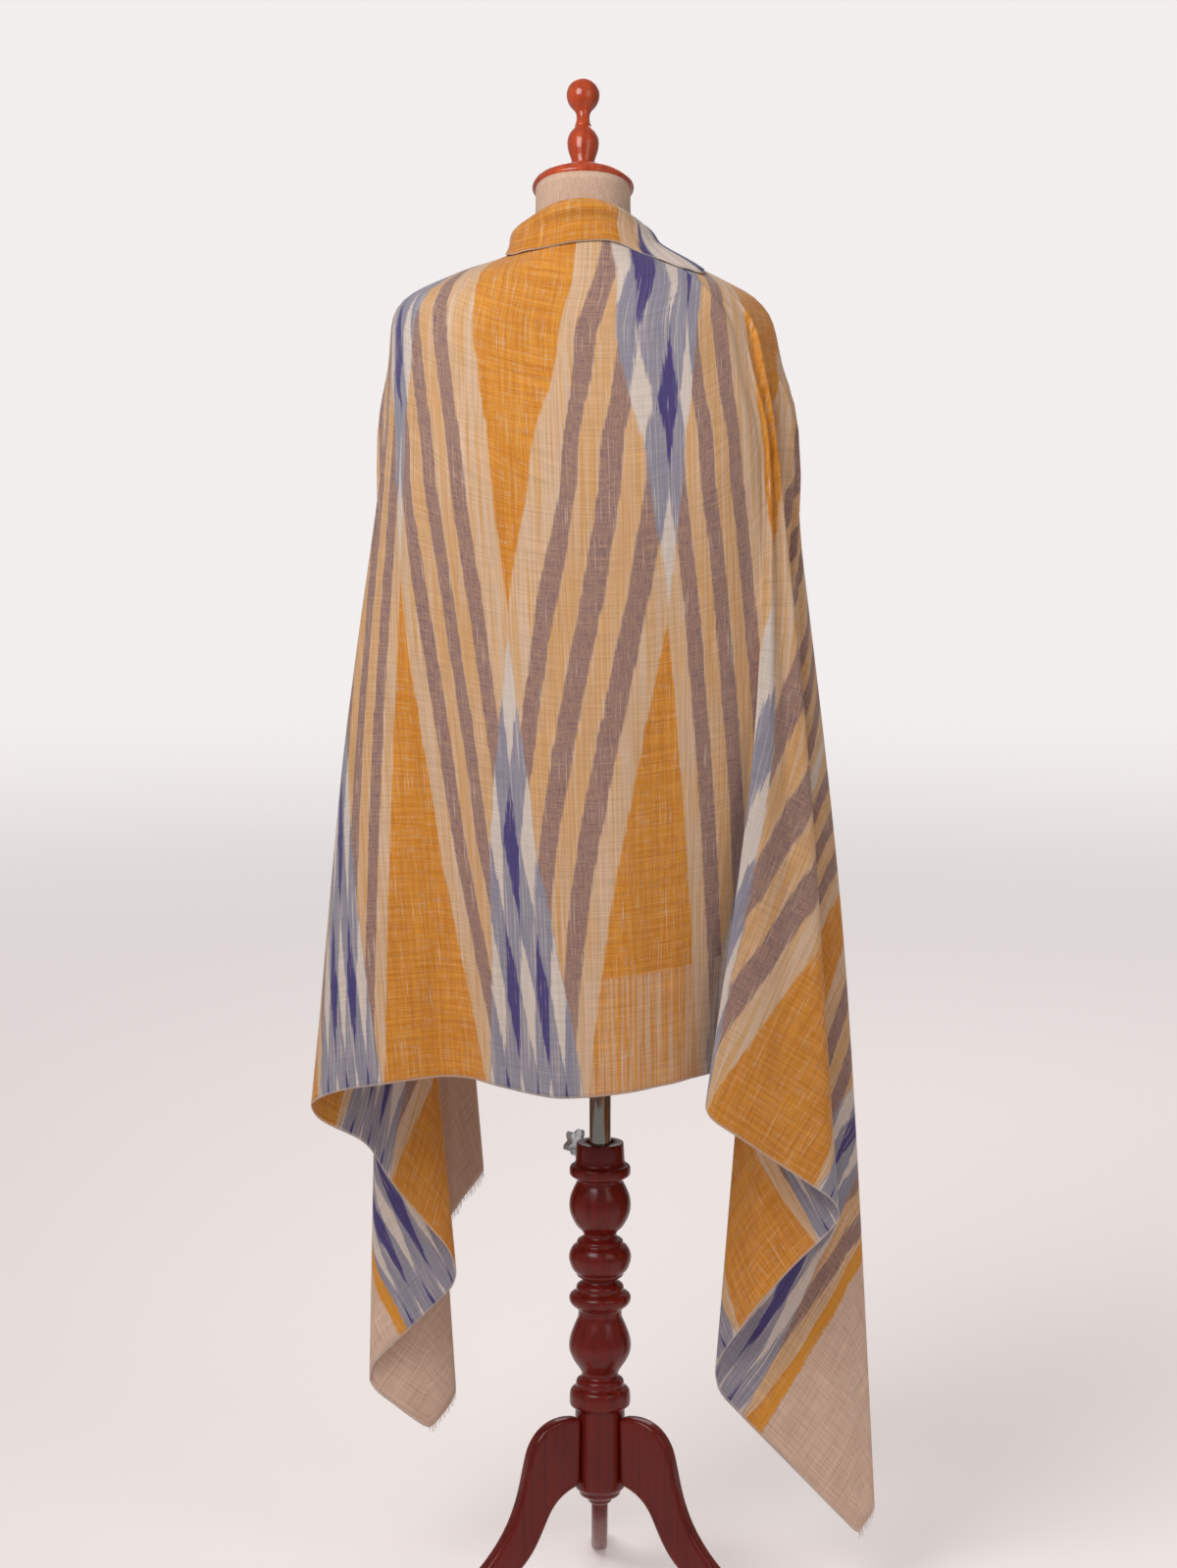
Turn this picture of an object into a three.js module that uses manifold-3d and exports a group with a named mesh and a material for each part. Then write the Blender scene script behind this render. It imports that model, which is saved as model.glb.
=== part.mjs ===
// A pashmina shawl draped over a limbless dress form on a turned wooden stand.
// Millimetres, +Z up. The origin is on the floor under the middle of the whole object; the back of the
// shawl faces -Y.
import * as THREE from "three";
import { mergeVertices } from "three/addons/utils/BufferGeometryUtils.js";
import Module from "manifold-3d";

const wasm = await Module();
wasm.setup();

// ---- driving dimensions ----
const standX = 0.8;          // where the stand's axis stands in the frame
const standY = -50.5;
const seam = 0.3;            // gap between neighbouring pieces

const clothLength = 2000;    // along the shawl, end to end
const clothWidth = 1000;     // selvedge to selvedge
const clothWall = 1.6;       // thickness of the cloth's wall

const fringeLength = 10;
const fringePitch = 12;      // between strands
const fringeRoot = 3;        // width of the strip that holds the strands
const strandWidth = 1.3;
const rootGap = 0.8;         // from the cloth's edge to the strip, more than a seam because both bend

const poleRadius = 11.5;
const poleClear = 0.6;       // running gap round the pole in the column
const poleBottom = 215;
const formBottom = 756;      // underside of the torso
const formSides = 40;        // sides of the torso, and of the cloth over it
const boardThick = 18;       // legs are cut from board
const legCount = 3;
const roundSides = 20;       // sides of the turned pieces

const colours = {
  mustard: 0xc08a35, sand: 0xcbb08a, mauve: 0x8b6f68, blue: 0x6f739b, end: 0xb9a291, linen: 0xc9bfae,
  mahogany: 0x4a1613, cherry: 0x8a3a1a, steel: 0xb5b3ae, clear: 0xdde3e6,
};

// ---- small helpers ----
const group = new THREE.Group();
group.position.set(standX, standY, 0);

function add(name, geometry, colour, roughness, metalness = 0) {
  const mesh = new THREE.Mesh(geometry, new THREE.MeshStandardMaterial({ color: colour, roughness, metalness }));
  mesh.name = name;
  group.add(mesh);
  return mesh;
}

function toSolid(geometry) {
  const bare = geometry.clone();
  bare.deleteAttribute("normal");
  bare.deleteAttribute("uv");
  const merged = mergeVertices(bare, 1e-4);
  return new wasm.Manifold(new wasm.Mesh({
    numProp: 3,
    vertProperties: new Float32Array(merged.attributes.position.array),
    triVerts: new Uint32Array(merged.index.array),
  }));
}

function toGeometry(solid) {
  const mesh = solid.getMesh();
  const geometry = new THREE.BufferGeometry();
  geometry.setAttribute("position", new THREE.BufferAttribute(new Float32Array(mesh.vertProperties), 3));
  geometry.setIndex(new THREE.BufferAttribute(new Uint32Array(mesh.triVerts), 1));
  return geometry;
}

function fromFaces(points, faces) {
  const geometry = new THREE.BufferGeometry();
  const flat = points.flatMap((p) => [p.x, p.y, p.z]);
  geometry.setAttribute("position", new THREE.BufferAttribute(new Float32Array(flat), 3));
  geometry.setIndex(faces.flat());
  return geometry;
}

// A turned piece about +Z from rows of [radius, height], listed from the bottom up.
function turned(profile, sides = roundSides) {
  const points = profile.map(([radius, height]) => new THREE.Vector2(radius, height));
  const geometry = new THREE.LatheGeometry(points, sides);
  geometry.rotateX(Math.PI / 2);
  return geometry;
}

const mix = (a, b, t) => a + (b - a) * t;

// Catmull-Rom through equally spaced values, ends doubled.
function throughValues(values, place) {
  const last = values.length - 1;
  const at = Math.min(Math.max(place, 0), last);
  const i = Math.min(Math.floor(at), last - 1);
  const t = at - i;
  const p0 = values[Math.max(i - 1, 0)];
  const p1 = values[i];
  const p2 = values[i + 1];
  const p3 = values[Math.min(i + 2, last)];
  return p1 + 0.5 * t * (p2 - p0 + t * (2 * p0 - 5 * p1 + 4 * p2 - p3 + t * (3 * (p1 - p2) + p3 - p0)));
}

// ---- the form under the cloth, as level hoops ----
// Each hoop is an oval: its centre's x, half width, depth behind and in front, and its height at the
// back, side and front.
const neckX = -18;
const ovalPower = 2.3;
const hoops = [
  { name: "roll", x: neckX, half: 58, behind: 66, before: 54, zBack: 1533, zSide: 1506, zFront: 1468 },
  { name: "collar", x: neckX, half: 74, behind: 75, before: 66, zBack: 1490, zSide: 1478, zFront: 1438 },
  { name: "slope", x: neckX, half: 132, behind: 90, before: 84, zBack: 1452, zSide: 1457, zFront: 1402 },
  { name: "tip", x: -17, half: 190, behind: 104, before: 100, zBack: 1405, zSide: 1425, zFront: 1365 },
  { name: "arm", x: -13, half: 203, behind: 117, before: 112, zBack: 1345, zSide: 1365, zFront: 1315 },
  { name: "chest", x: -14, half: 220, behind: 132, before: 128, zBack: 1250, zSide: 1250, zFront: 1250 },
];
const chestHoop = hoops.length - 1;

const rad = (degrees) => (degrees * Math.PI) / 180;
const signedPower = (value, power) => Math.sign(value) * Math.abs(value) ** power;

// A point of a hoop, at a turn from the back: +90 is the right side, -90 the left, 180 the front.
function onHoop(hoop, turn, inset = 0, drop = 0) {
  const sine = signedPower(Math.sin(rad(turn)), 2 / ovalPower);
  const cosine = signedPower(Math.cos(rad(turn)), 2 / ovalPower);
  const depth = cosine > 0 ? hoop.behind : hoop.before;
  const level = cosine > 0 ? hoop.zBack : hoop.zFront;
  const square = Math.cos(rad(turn)) ** 2;
  return new THREE.Vector3(
    hoop.x + (hoop.half - inset) * sine,
    -(depth - inset) * cosine,
    mix(hoop.zSide, level, square) - drop,
  );
}

// ---- the folds of the cloth ----
// A row for each fold line, from the front edge at the left, round the back, to the front edge at the
// right. u, v: where it meets the cloth's edge when the cloth lies flat (u along the length from the
// middle, v from the top selvedge). turn: where it leaves the form. x, y, z: its foot, from the stand's
// axis. bulge: how far it stands out halfway down. soft: the width each side over which the fold rounds.
const folds = [
  { name: "left_front_edge", u: -1000, v: 0, turn: -151, x: -190, y: 215, z: 670, bulge: 0, soft: 30 },
  { name: "left_front_1", u: -1000, v: 120, turn: -145, x: -148, y: 200, z: 645, bulge: 0, soft: 40 },
  { name: "left_front_2", u: -1000, v: 290, turn: -137, x: -222, y: 182, z: 560, bulge: 0, soft: 50 },
  { name: "left_front_3", u: -1000, v: 470, turn: -129, x: -120, y: 160, z: 473, bulge: 0, soft: 45 },
  { name: "left_front_4", u: -1000, v: 760, turn: -119, x: -232, y: 136, z: 325, bulge: 0, soft: 50 },
  { name: "left_front_5", u: -1000, v: 930, turn: -110, x: -148, y: 114, z: 228, bulge: 0, soft: 40 },
  { name: "left_tip", u: -1000, v: 1000, turn: -106, x: -189, y: 104, z: 180, bulge: 0, soft: 8 },
  { name: "left_fold_3", u: -897, v: 1000, turn: -102, x: -268, y: 90, z: 243, bulge: 0, soft: 40 },
  { name: "left_fold_2", u: -708, v: 1000, turn: -92, x: -142, y: 40, z: 378, bulge: 0, soft: 45 },
  { name: "left_ripple_2", u: -575, v: 1000, turn: -88, x: -228, y: 6, z: 490, bulge: 0, soft: 30 },
  { name: "left_ripple_1", u: -520, v: 1000, turn: -85, x: -246, y: -12, z: 535, bulge: 0, soft: 25 },
  { name: "left_fold_1", u: -433, v: 1000, turn: -80, x: -318, y: -40, z: 575, bulge: -6, soft: 45 },
  { name: "back_left_side", u: -362, v: 1000, turn: -72, x: -284, y: -98, z: 612, bulge: -4, soft: 34 },
  { name: "back_left_crest", u: -300, v: 1000, turn: -60, x: -217, y: -108, z: 622, bulge: -2, soft: 30 },
  { name: "back_left_valley", u: -235, v: 1000, turn: -48, x: -156, y: -82, z: 627, bulge: 0, soft: 30 },
  { name: "back_left_slope", u: -175, v: 1000, turn: -34, x: -108, y: -118, z: 622, bulge: 0, soft: 30 },
  { name: "back_middle", u: -80, v: 1000, turn: -8, x: -38, y: -172, z: 618, bulge: 0, soft: 45 },
  { name: "back_right_crest", u: 10, v: 1000, turn: 12, x: 48, y: -150, z: 625, bulge: 0, soft: 40 },
  { name: "back_right_slope", u: 95, v: 1000, turn: 36, x: 112, y: -98, z: 630, bulge: 4, soft: 30 },
  { name: "crease_valley", u: 145, v: 1000, turn: 52, x: 150, y: -72, z: 632, bulge: 14, soft: 24 },
  { name: "crease_ridge", u: 225, v: 1000, turn: 58, x: 96, y: -152, z: 606, bulge: 16, soft: 34 },
  { name: "right_ridge", u: 435, v: 1000, turn: 67, x: 265, y: -92, z: 480, bulge: 6, soft: 45 },
  { name: "right_ripple", u: 560, v: 1000, turn: 74, x: 196, y: -48, z: 402, bulge: 4, soft: 55 },
  { name: "right_fold_2", u: 715, v: 1000, turn: 81, x: 112, y: 8, z: 270, bulge: 0, soft: 45 },
  { name: "right_tip", u: 1000, v: 1000, turn: 91, x: 285, y: 60, z: 74, bulge: 10, soft: 8 },
  { name: "right_front_6", u: 1000, v: 945, turn: 96, x: 312, y: 74, z: 112, bulge: 14, soft: 35 },
  { name: "right_front_5", u: 1000, v: 760, turn: 105, x: 188, y: 100, z: 222, bulge: 8, soft: 50 },
  { name: "right_front_4", u: 1000, v: 510, turn: 116, x: 286, y: 130, z: 370, bulge: 6, soft: 50 },
  { name: "right_front_3", u: 1000, v: 290, turn: 127, x: 186, y: 154, z: 480, bulge: 0, soft: 45 },
  { name: "right_front_2", u: 1000, v: 120, turn: 139, x: 262, y: 174, z: 560, bulge: 0, soft: 35 },
  { name: "right_front_edge", u: 1000, v: 0, turn: 151, x: 205, y: 190, z: 590, bulge: 0, soft: 30 },
];

// Distance along the cloth's free edge: down the left end, along the hem and up the right end.
function edgePlace({ u, v }) {
  if (u === -clothLength / 2) return v;
  if (u === clothLength / 2) return 2 * clothWidth + clothLength - v;
  return clothWidth + u + clothLength / 2;
}
const places = folds.map(edgePlace);

// The fold lines' values at a place on the free edge: straight between folds, rounded at each.
function foldAt(place, key) {
  let i = 0;
  while (i < places.length - 2 && places[i + 1] < place) i += 1;
  const straight = (from, at) => {
    const t = (at - places[from]) / (places[from + 1] - places[from]);
    return mix(folds[from][key], folds[from + 1][key], t);
  };
  const corner = place - places[i] < places[i + 1] - place ? i : i + 1;
  if (corner === 0 || corner === folds.length - 1) return straight(i, place);
  const reach = folds[corner].soft;
  const off = place - places[corner];
  if (Math.abs(off) >= reach) return straight(i, place);
  const t = (off + reach) / (2 * reach);
  const before = straight(corner - 1, places[corner] - reach);
  const after = straight(corner, places[corner] + reach);
  return before * (1 - t) ** 2 + 2 * t * (1 - t) * folds[corner][key] + after * t * t;
}

// A point of the cloth: place runs along the free edge, level runs down the hoops to the middle of
// the fall and its foot.
const midLevel = chestHoop + 1;
const footLevel = chestHoop + 2;
const midShare = 0.45;

function clothPoint(place, level) {
  const turn = foldAt(place, "turn");
  const stops = hoops.map((hoop) => onHoop(hoop, turn));
  const foot = new THREE.Vector3(foldAt(place, "x"), foldAt(place, "y"), foldAt(place, "z"));
  const middle = stops[chestHoop].clone().lerp(foot, midShare);
  middle.x += foldAt(place, "bulge");
  stops.push(middle, foot);
  return new THREE.Vector3(
    throughValues(stops.map((p) => p.x), level),
    throughValues(stops.map((p) => p.y), level),
    throughValues(stops.map((p) => p.z), level),
  );
}

// Unit directions on the cloth: along the edge, down the fall and out of the wall.
function clothAxes(place, level) {
  const step = 1;
  const along = clothPoint(place + step, level).sub(clothPoint(place - step, level)).normalize();
  const rise = 0.01;
  const low = Math.min(level + rise, footLevel);
  const high = Math.max(level - rise, 0);
  const down = clothPoint(place, low).sub(clothPoint(place, high)).normalize();
  const out = new THREE.Vector3().crossVectors(down, along).normalize();
  return { along, down, out };
}

// A closed wall from rows of middle points and their outward directions.
function wall(rows, thickness) {
  const points = [];
  const across = rows[0].length;
  rows.forEach((row) => row.forEach(({ point, out }) => {
    points.push(point.clone().addScaledVector(out, thickness / 2));
  }));
  rows.forEach((row) => row.forEach(({ point, out }) => {
    points.push(point.clone().addScaledVector(out, -thickness / 2));
  }));
  const half = rows.length * across;
  const id = (i, j) => i * across + j;
  const faces = [];
  const quad = (a, b, c, d) => faces.push([a, b, c], [a, c, d]);
  for (let i = 0; i < rows.length - 1; i += 1) {
    for (let j = 0; j < across - 1; j += 1) {
      quad(id(i, j), id(i + 1, j), id(i + 1, j + 1), id(i, j + 1));
      quad(half + id(i, j), half + id(i, j + 1), half + id(i + 1, j + 1), half + id(i + 1, j));
    }
    quad(id(i, 0), half + id(i, 0), half + id(i + 1, 0), id(i + 1, 0));
    const j = across - 1;
    quad(id(i, j), id(i + 1, j), half + id(i + 1, j), half + id(i, j));
  }
  for (let j = 0; j < across - 1; j += 1) {
    quad(id(0, j), id(0, j + 1), half + id(0, j + 1), half + id(0, j));
    const i = rows.length - 1;
    quad(id(i, j), half + id(i, j), half + id(i, j + 1), id(i, j + 1));
  }
  return fromFaces(points, faces);
}

// The places along the edge where a stretch has a column of points: at shares of each fold's rounding.
function columnsBetween(from, to) {
  const columns = new Set([from, to]);
  const longest = 80;
  const shares = [-1, -0.5, 0, 0.5, 1];
  const put = (place) => {
    if (place > from + 2 && place < to - 2) columns.add(place);
  };
  places.forEach((place, i) => {
    const reach = folds[i].soft;
    shares.forEach((share) => put(place + share * reach));
  });
  const sorted = [...columns].sort((a, b) => a - b);
  const filled = [];
  sorted.forEach((place, i) => {
    if (i > 0) {
      const gap = place - sorted[i - 1];
      const parts = Math.ceil(gap / longest);
      for (let k = 1; k < parts; k += 1) filled.push(sorted[i - 1] + (gap * k) / parts);
    }
    filled.push(place);
  });
  return filled;
}

// The place along the edge whose fold line leaves the form at a turn.
function placeAtTurn(turn) {
  let low = places[0];
  let high = places[places.length - 1];
  for (let k = 0; k < 40; k += 1) {
    const middle = (low + high) / 2;
    if (foldAt(middle, "turn") < turn) low = middle;
    else high = middle;
  }
  return (low + high) / 2;
}

// Over the shoulders a stretch has a column at each side of the form.
function columnsOverForm(from, to) {
  const columns = [from];
  const turnStep = 360 / formSides;
  const nearest = 2;
  const [first, last] = [foldAt(from, "turn"), foldAt(to, "turn")];
  for (let turn = Math.ceil(first / turnStep) * turnStep; turn < last - nearest; turn += turnStep) {
    if (turn > first + nearest) columns.push(placeAtTurn(turn));
  }
  columns.push(to);
  return columns;
}

// One stretch of cloth between two levels, drawn in by half a seam at each cut edge.
function stretch(columns, top, bottom, steps) {
  const rows = [];
  for (let i = 0; i <= steps; i += 1) {
    const level = mix(top, bottom, i / steps);
    rows.push(columns.map((place, j) => {
      const { along, down, out } = clothAxes(place, level);
      const point = clothPoint(place, level);
      if (j === 0) point.addScaledVector(along, seam / 2);
      if (j === columns.length - 1) point.addScaledVector(along, -seam / 2);
      if (i === 0) point.addScaledVector(down, seam / 2);
      if (i === steps) point.addScaledVector(down, -seam / 2);
      return { point, out };
    }));
  }
  return wall(rows, clothWall);
}

const placeOf = (name) => places[folds.findIndex((fold) => fold.name === name)];

// Where each stretch starts and ends, and its main colour.
const yokes = [
  { node: "left_shoulder", from: "left_front_edge", to: "left_fold_1", colour: colours.sand },
  { node: "upper_back", from: "left_fold_1", to: "crease_ridge", colour: colours.sand },
  { node: "right_shoulder", from: "crease_ridge", to: "right_front_edge", colour: colours.mustard },
];
const falls = [
  { node: "left_fall_8", from: "left_front_edge", to: "left_front_1", colour: colours.end },
  { node: "left_fall_7", from: "left_front_1", to: "left_front_2", colour: colours.end },
  { node: "left_fall_6", from: "left_front_2", to: "left_front_3", colour: colours.end },
  { node: "left_fall_5", from: "left_front_3", to: "left_front_4", colour: colours.end },
  { node: "left_fall_4", from: "left_front_4", to: "left_front_5", colour: colours.end },
  { node: "left_fall_3", from: "left_front_5", to: "left_fold_3", colour: colours.end },
  { node: "left_fall_2", from: "left_fold_3", to: "left_fold_2", colour: colours.blue },
  { node: "left_fall_1", from: "left_fold_2", to: "left_fold_1", colour: colours.mustard },
  { node: "back_left", from: "left_fold_1", to: "back_left_valley", colour: colours.blue },
  { node: "back_centre_left", from: "back_left_valley", to: "back_middle", colour: colours.mustard },
  { node: "back_centre_right", from: "back_middle", to: "back_right_slope", colour: colours.mauve },
  { node: "back_right", from: "back_right_slope", to: "crease_ridge", colour: colours.blue },
  { node: "right_fall_1", from: "crease_ridge", to: "right_ridge", colour: colours.mustard },
  { node: "right_fall_2", from: "right_ridge", to: "right_fold_2", colour: colours.mustard },
  { node: "right_fall_3", from: "right_fold_2", to: "right_front_6", colour: colours.end },
  { node: "right_fall_4", from: "right_front_6", to: "right_front_5", colour: colours.end },
  { node: "right_fall_5", from: "right_front_5", to: "right_front_4", colour: colours.end },
  { node: "right_fall_6", from: "right_front_4", to: "right_front_3", colour: colours.end },
  { node: "right_fall_7", from: "right_front_3", to: "right_front_2", colour: colours.end },
  { node: "right_fall_8", from: "right_front_2", to: "right_front_edge", colour: colours.end },
];
const yokeSteps = 2 * chestHoop;
const fallSteps = 5;
const clothRoughness = 0.85;

for (const { node, from, to, colour } of yokes) {
  const columns = columnsOverForm(placeOf(from), placeOf(to));
  add(node, stretch(columns, 0, chestHoop, yokeSteps), colour, clothRoughness);
}
for (const { node, from, to, colour } of falls) {
  const columns = columnsBetween(placeOf(from), placeOf(to));
  add(node, stretch(columns, chestHoop, footLevel, fallSteps), colour, clothRoughness);
}

// ---- the flap folded over at the nape ----
// It leaves the roll's top, turns outwards and hangs clear of the cloth under it.
const flapRows = [
  { turn: -140, width: 14 },
  { turn: -118, width: 38 },
  { turn: -92, width: 62 },
  { turn: -60, width: 52 },
  { turn: -30, width: 44 },
  { turn: 0, width: 41 },
  { turn: 40, width: 36 },
  { turn: 75, width: 26 },
  { turn: 110, width: 20 },
  { turn: 140, width: 10 },
];
const flapStand = 4.5;       // how far the flap hangs out from the cloth under it
const rollGap = 0.9;         // between the flap and the cloth at the roll
const flapSteps = 4;
const hoopSpacing = 42;      // down the cloth, from the roll to the collar

function napeFlap() {
  const rows = [];
  const columnsPerRow = 3;
  const count = (flapRows.length - 1) * columnsPerRow;
  for (let i = 0; i <= flapSteps; i += 1) {
    const share = i / flapSteps;
    const row = [];
    for (let j = 0; j <= count; j += 1) {
      const at = j / columnsPerRow;
      const place = placeAtTurn(throughValues(flapRows.map((r) => r.turn), at));
      const width = throughValues(flapRows.map((r) => r.width), at);
      const level = (share * width) / hoopSpacing;
      const { out } = clothAxes(place, level);
      const lift = mix(clothWall + rollGap, flapStand, Math.sin((share * Math.PI) / 2));
      row.push({ point: clothPoint(place, level).addScaledVector(out, lift), out });
    }
    rows.push(row);
  }
  return wall(rows, clothWall);
}
add("nape_flap", napeFlap(), colours.mustard, clothRoughness);

// ---- the combed-out ends ----
// A narrow strip along each end of the cloth, with short strands hanging from it.
function fringe(from, to) {
  const columns = columnsBetween(from, to);
  const hung = columns.map((place) => ({ point: clothPoint(place, footLevel), ...clothAxes(place, footLevel) }));
  const rows = [rootGap, rootGap + fringeRoot].map((drop) => hung.map(({ point, down, out }) => (
    { point: point.clone().addScaledVector(down, drop), out }
  )));
  let solid = toSolid(wall(rows, clothWall * 0.8));
  const count = Math.floor((to - from) / fringePitch);
  for (let k = 0; k < count; k += 1) {
    const place = from + ((k + 0.5) * (to - from)) / count;
    const next = columns.findIndex((column) => column > place);
    const share = (place - columns[next - 1]) / (columns[next] - columns[next - 1]);
    const between = (key) => hung[next - 1][key].clone().lerp(hung[next][key], share);
    const down = between("down").normalize();
    const along = hung[next].point.clone().sub(hung[next - 1].point).normalize();
    const out = new THREE.Vector3().crossVectors(down, along).normalize();
    const root = between("point").addScaledVector(down, rootGap + fringeRoot / 2);
    const swing = Math.sin(k * 2.4) * 0.22;
    const length = fringeLength * (0.86 + 0.14 * Math.cos(k * 1.7));
    const end = root.clone().addScaledVector(down, length).addScaledVector(along, swing * length);
    const ring = (centre, size) => [0, 1, 2].map((n) => {
      const angle = (n * 2 * Math.PI) / 3;
      return centre.clone()
        .addScaledVector(along, Math.cos(angle) * size)
        .addScaledVector(out, Math.sin(angle) * size * 0.6);
    });
    const points = [...ring(root, strandWidth / 2), ...ring(end, strandWidth / 4)];
    const faces = [[2, 1, 0], [3, 4, 5], [4, 3, 0], [1, 4, 0], [5, 4, 1], [2, 5, 1], [3, 5, 2], [0, 3, 2]];
    solid = solid.add(toSolid(fromFaces(points, faces)));
  }
  return toGeometry(solid);
}
const leftEndTo = clothWidth;
const rightEndFrom = clothWidth + clothLength;
const cornerClear = 3;
add("left_fringe", fringe(cornerClear, leftEndTo - cornerClear), colours.end, clothRoughness);
add("right_fringe", fringe(rightEndFrom + cornerClear, rightEndFrom + clothWidth - cornerClear), colours.end,
  clothRoughness);

// ---- the dress form ----
// Ovals from the neck's top down; the shoulders follow the cloth's hoops, just inside them.
const formInset = 1.05;      // the form's shoulders lie this far in and down from the cloth's middle
const formOvals = [
  { z: 1541, x: neckX, half: 49, behind: 49, before: 49, tilt: 0.45 },
  { z: 1515, x: neckX, half: 49.5, behind: 50, before: 49, tilt: 0.24 },
];
const lowerOvals = [
  { z: 1300, x: neckX, half: 178, behind: 106, before: 104 },
  { z: 1235, x: neckX, half: 158, behind: 104, before: 118 },
  { z: 1180, x: -16, half: 146, behind: 100, before: 124 },
  { z: 1120, x: -14, half: 132, behind: 94, before: 108 },
  { z: 1040, x: -11, half: 122, behind: 86, before: 92 },
  { z: 960, x: -8, half: 136, behind: 92, before: 94 },
  { z: 870, x: -4, half: 158, behind: 104, before: 98 },
  { z: 800, x: -2, half: 160, behind: 106, before: 96 },
  { z: formBottom, x: 0, half: 154, behind: 102, before: 92 },
];

function ovalPoint(oval, turn) {
  const sine = signedPower(Math.sin(rad(turn)), 2 / ovalPower);
  const cosine = signedPower(Math.cos(rad(turn)), 2 / ovalPower);
  const y = -(cosine > 0 ? oval.behind : oval.before) * cosine;
  return new THREE.Vector3(oval.x + oval.half * sine, y, oval.z - (oval.tilt ?? 0) * y);
}

function torso() {
  const rings = [];
  const turns = [];
  for (let k = 0; k < formSides; k += 1) turns.push((k * 360) / formSides - 180);
  formOvals.forEach((oval) => rings.push(turns.map((turn) => ovalPoint(oval, turn))));
  const shoulders = [
    { level: 0.5, inset: 9 }, { level: 1, inset: formInset }, { level: 1.5, inset: formInset },
    { level: 2, inset: formInset }, { level: 2.5, inset: formInset }, { level: 3, inset: formInset },
    { level: 3.5, inset: 7 },
  ];
  shoulders.forEach(({ level, inset }) => rings.push(turns.map((turn) => {
    const stops = hoops.map((hoop) => onHoop(hoop, turn, inset, formInset));
    return new THREE.Vector3(
      throughValues(stops.map((p) => p.x), level),
      throughValues(stops.map((p) => p.y), level),
      throughValues(stops.map((p) => p.z), level),
    );
  })));
  lowerOvals.forEach((oval) => rings.push(turns.map((turn) => ovalPoint(oval, turn))));
  const points = rings.flat();
  const faces = [];
  const id = (i, j) => i * formSides + (j % formSides);
  for (let i = 0; i < rings.length - 1; i += 1) {
    for (let j = 0; j < formSides; j += 1) {
      faces.push([id(i, j), id(i + 1, j), id(i + 1, j + 1)], [id(i, j), id(i + 1, j + 1), id(i, j + 1)]);
    }
  }
  const centre = (ring) => ring.reduce((sum, p) => sum.add(p), new THREE.Vector3()).divideScalar(formSides);
  const top = points.push(centre(rings[0])) - 1;
  const bottom = points.push(centre(rings[rings.length - 1])) - 1;
  for (let j = 0; j < formSides; j += 1) {
    faces.push([id(0, j), id(0, j + 1), top]);
    faces.push([id(rings.length - 1, j + 1), id(rings.length - 1, j), bottom]);
  }
  return fromFaces(points, faces);
}
add("torso", torso(), colours.linen, 0.9);

// The cap lies on the neck's tilted top, and the finial stands square on the cap.
const capTilt = Math.atan(formOvals[0].tilt);
const capTop = 21.5;
const capProfile = [
  [0, 0], [49.5, 0], [52, 1.5], [52.7, 4], [51.5, 7.5], [47.5, 12.5], [40, 16.5], [28, 19.5], [14, capTop],
  [0, capTop],
];
const cap = add("neck_cap", turned(capProfile, 28), colours.cherry, 0.35);
cap.rotation.x = -capTilt;
cap.position.set(neckX, 0, formOvals[0].z + seam);

const finialProfile = [
  [0, 0], [13.5, 0], [14, 2.5], [12, 5], [11, 8], [12.4, 15], [15.2, 23], [16.5, 31], [16, 37], [13.5, 43.5],
  [9.5, 48.5], [8.4, 50], [8.8, 51.5], [7.6, 54], [6.6, 59.5], [7.2, 66], [9.5, 70], [13.6, 74.5],
  [16.4, 80.5], [17.3, 86.4], [16.4, 92.5], [13.6, 98], [9, 102], [4, 103.6], [0, 103.9],
];
const finial = add("finial", turned(finialProfile, 16), colours.cherry, 0.25);
const finialReach = capTop + seam;
finial.rotation.x = -capTilt;
finial.position.set(
  neckX,
  Math.sin(capTilt) * finialReach,
  formOvals[0].z + seam + Math.cos(capTilt) * finialReach,
);

// ---- the mast ----
const plateThick = 12;
const plateProfile = [[0, 0], [70, 0], [72, 2], [72, plateThick - 2], [70, plateThick], [0, plateThick]];
const plate = add("form_plate", turned(plateProfile), colours.mahogany, 0.35);
plate.position.z = formBottom - seam - plateThick;
const poleTop = formBottom - seam - plateThick - seam;
const pole = add("mast", turned([[0, 0], [poleRadius - 1, 0], [poleRadius, 1], [poleRadius, poleTop - poleBottom],
  [0, poleTop - poleBottom]], 24), colours.steel, 0.3, 1);
pole.position.z = poleBottom;

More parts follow.
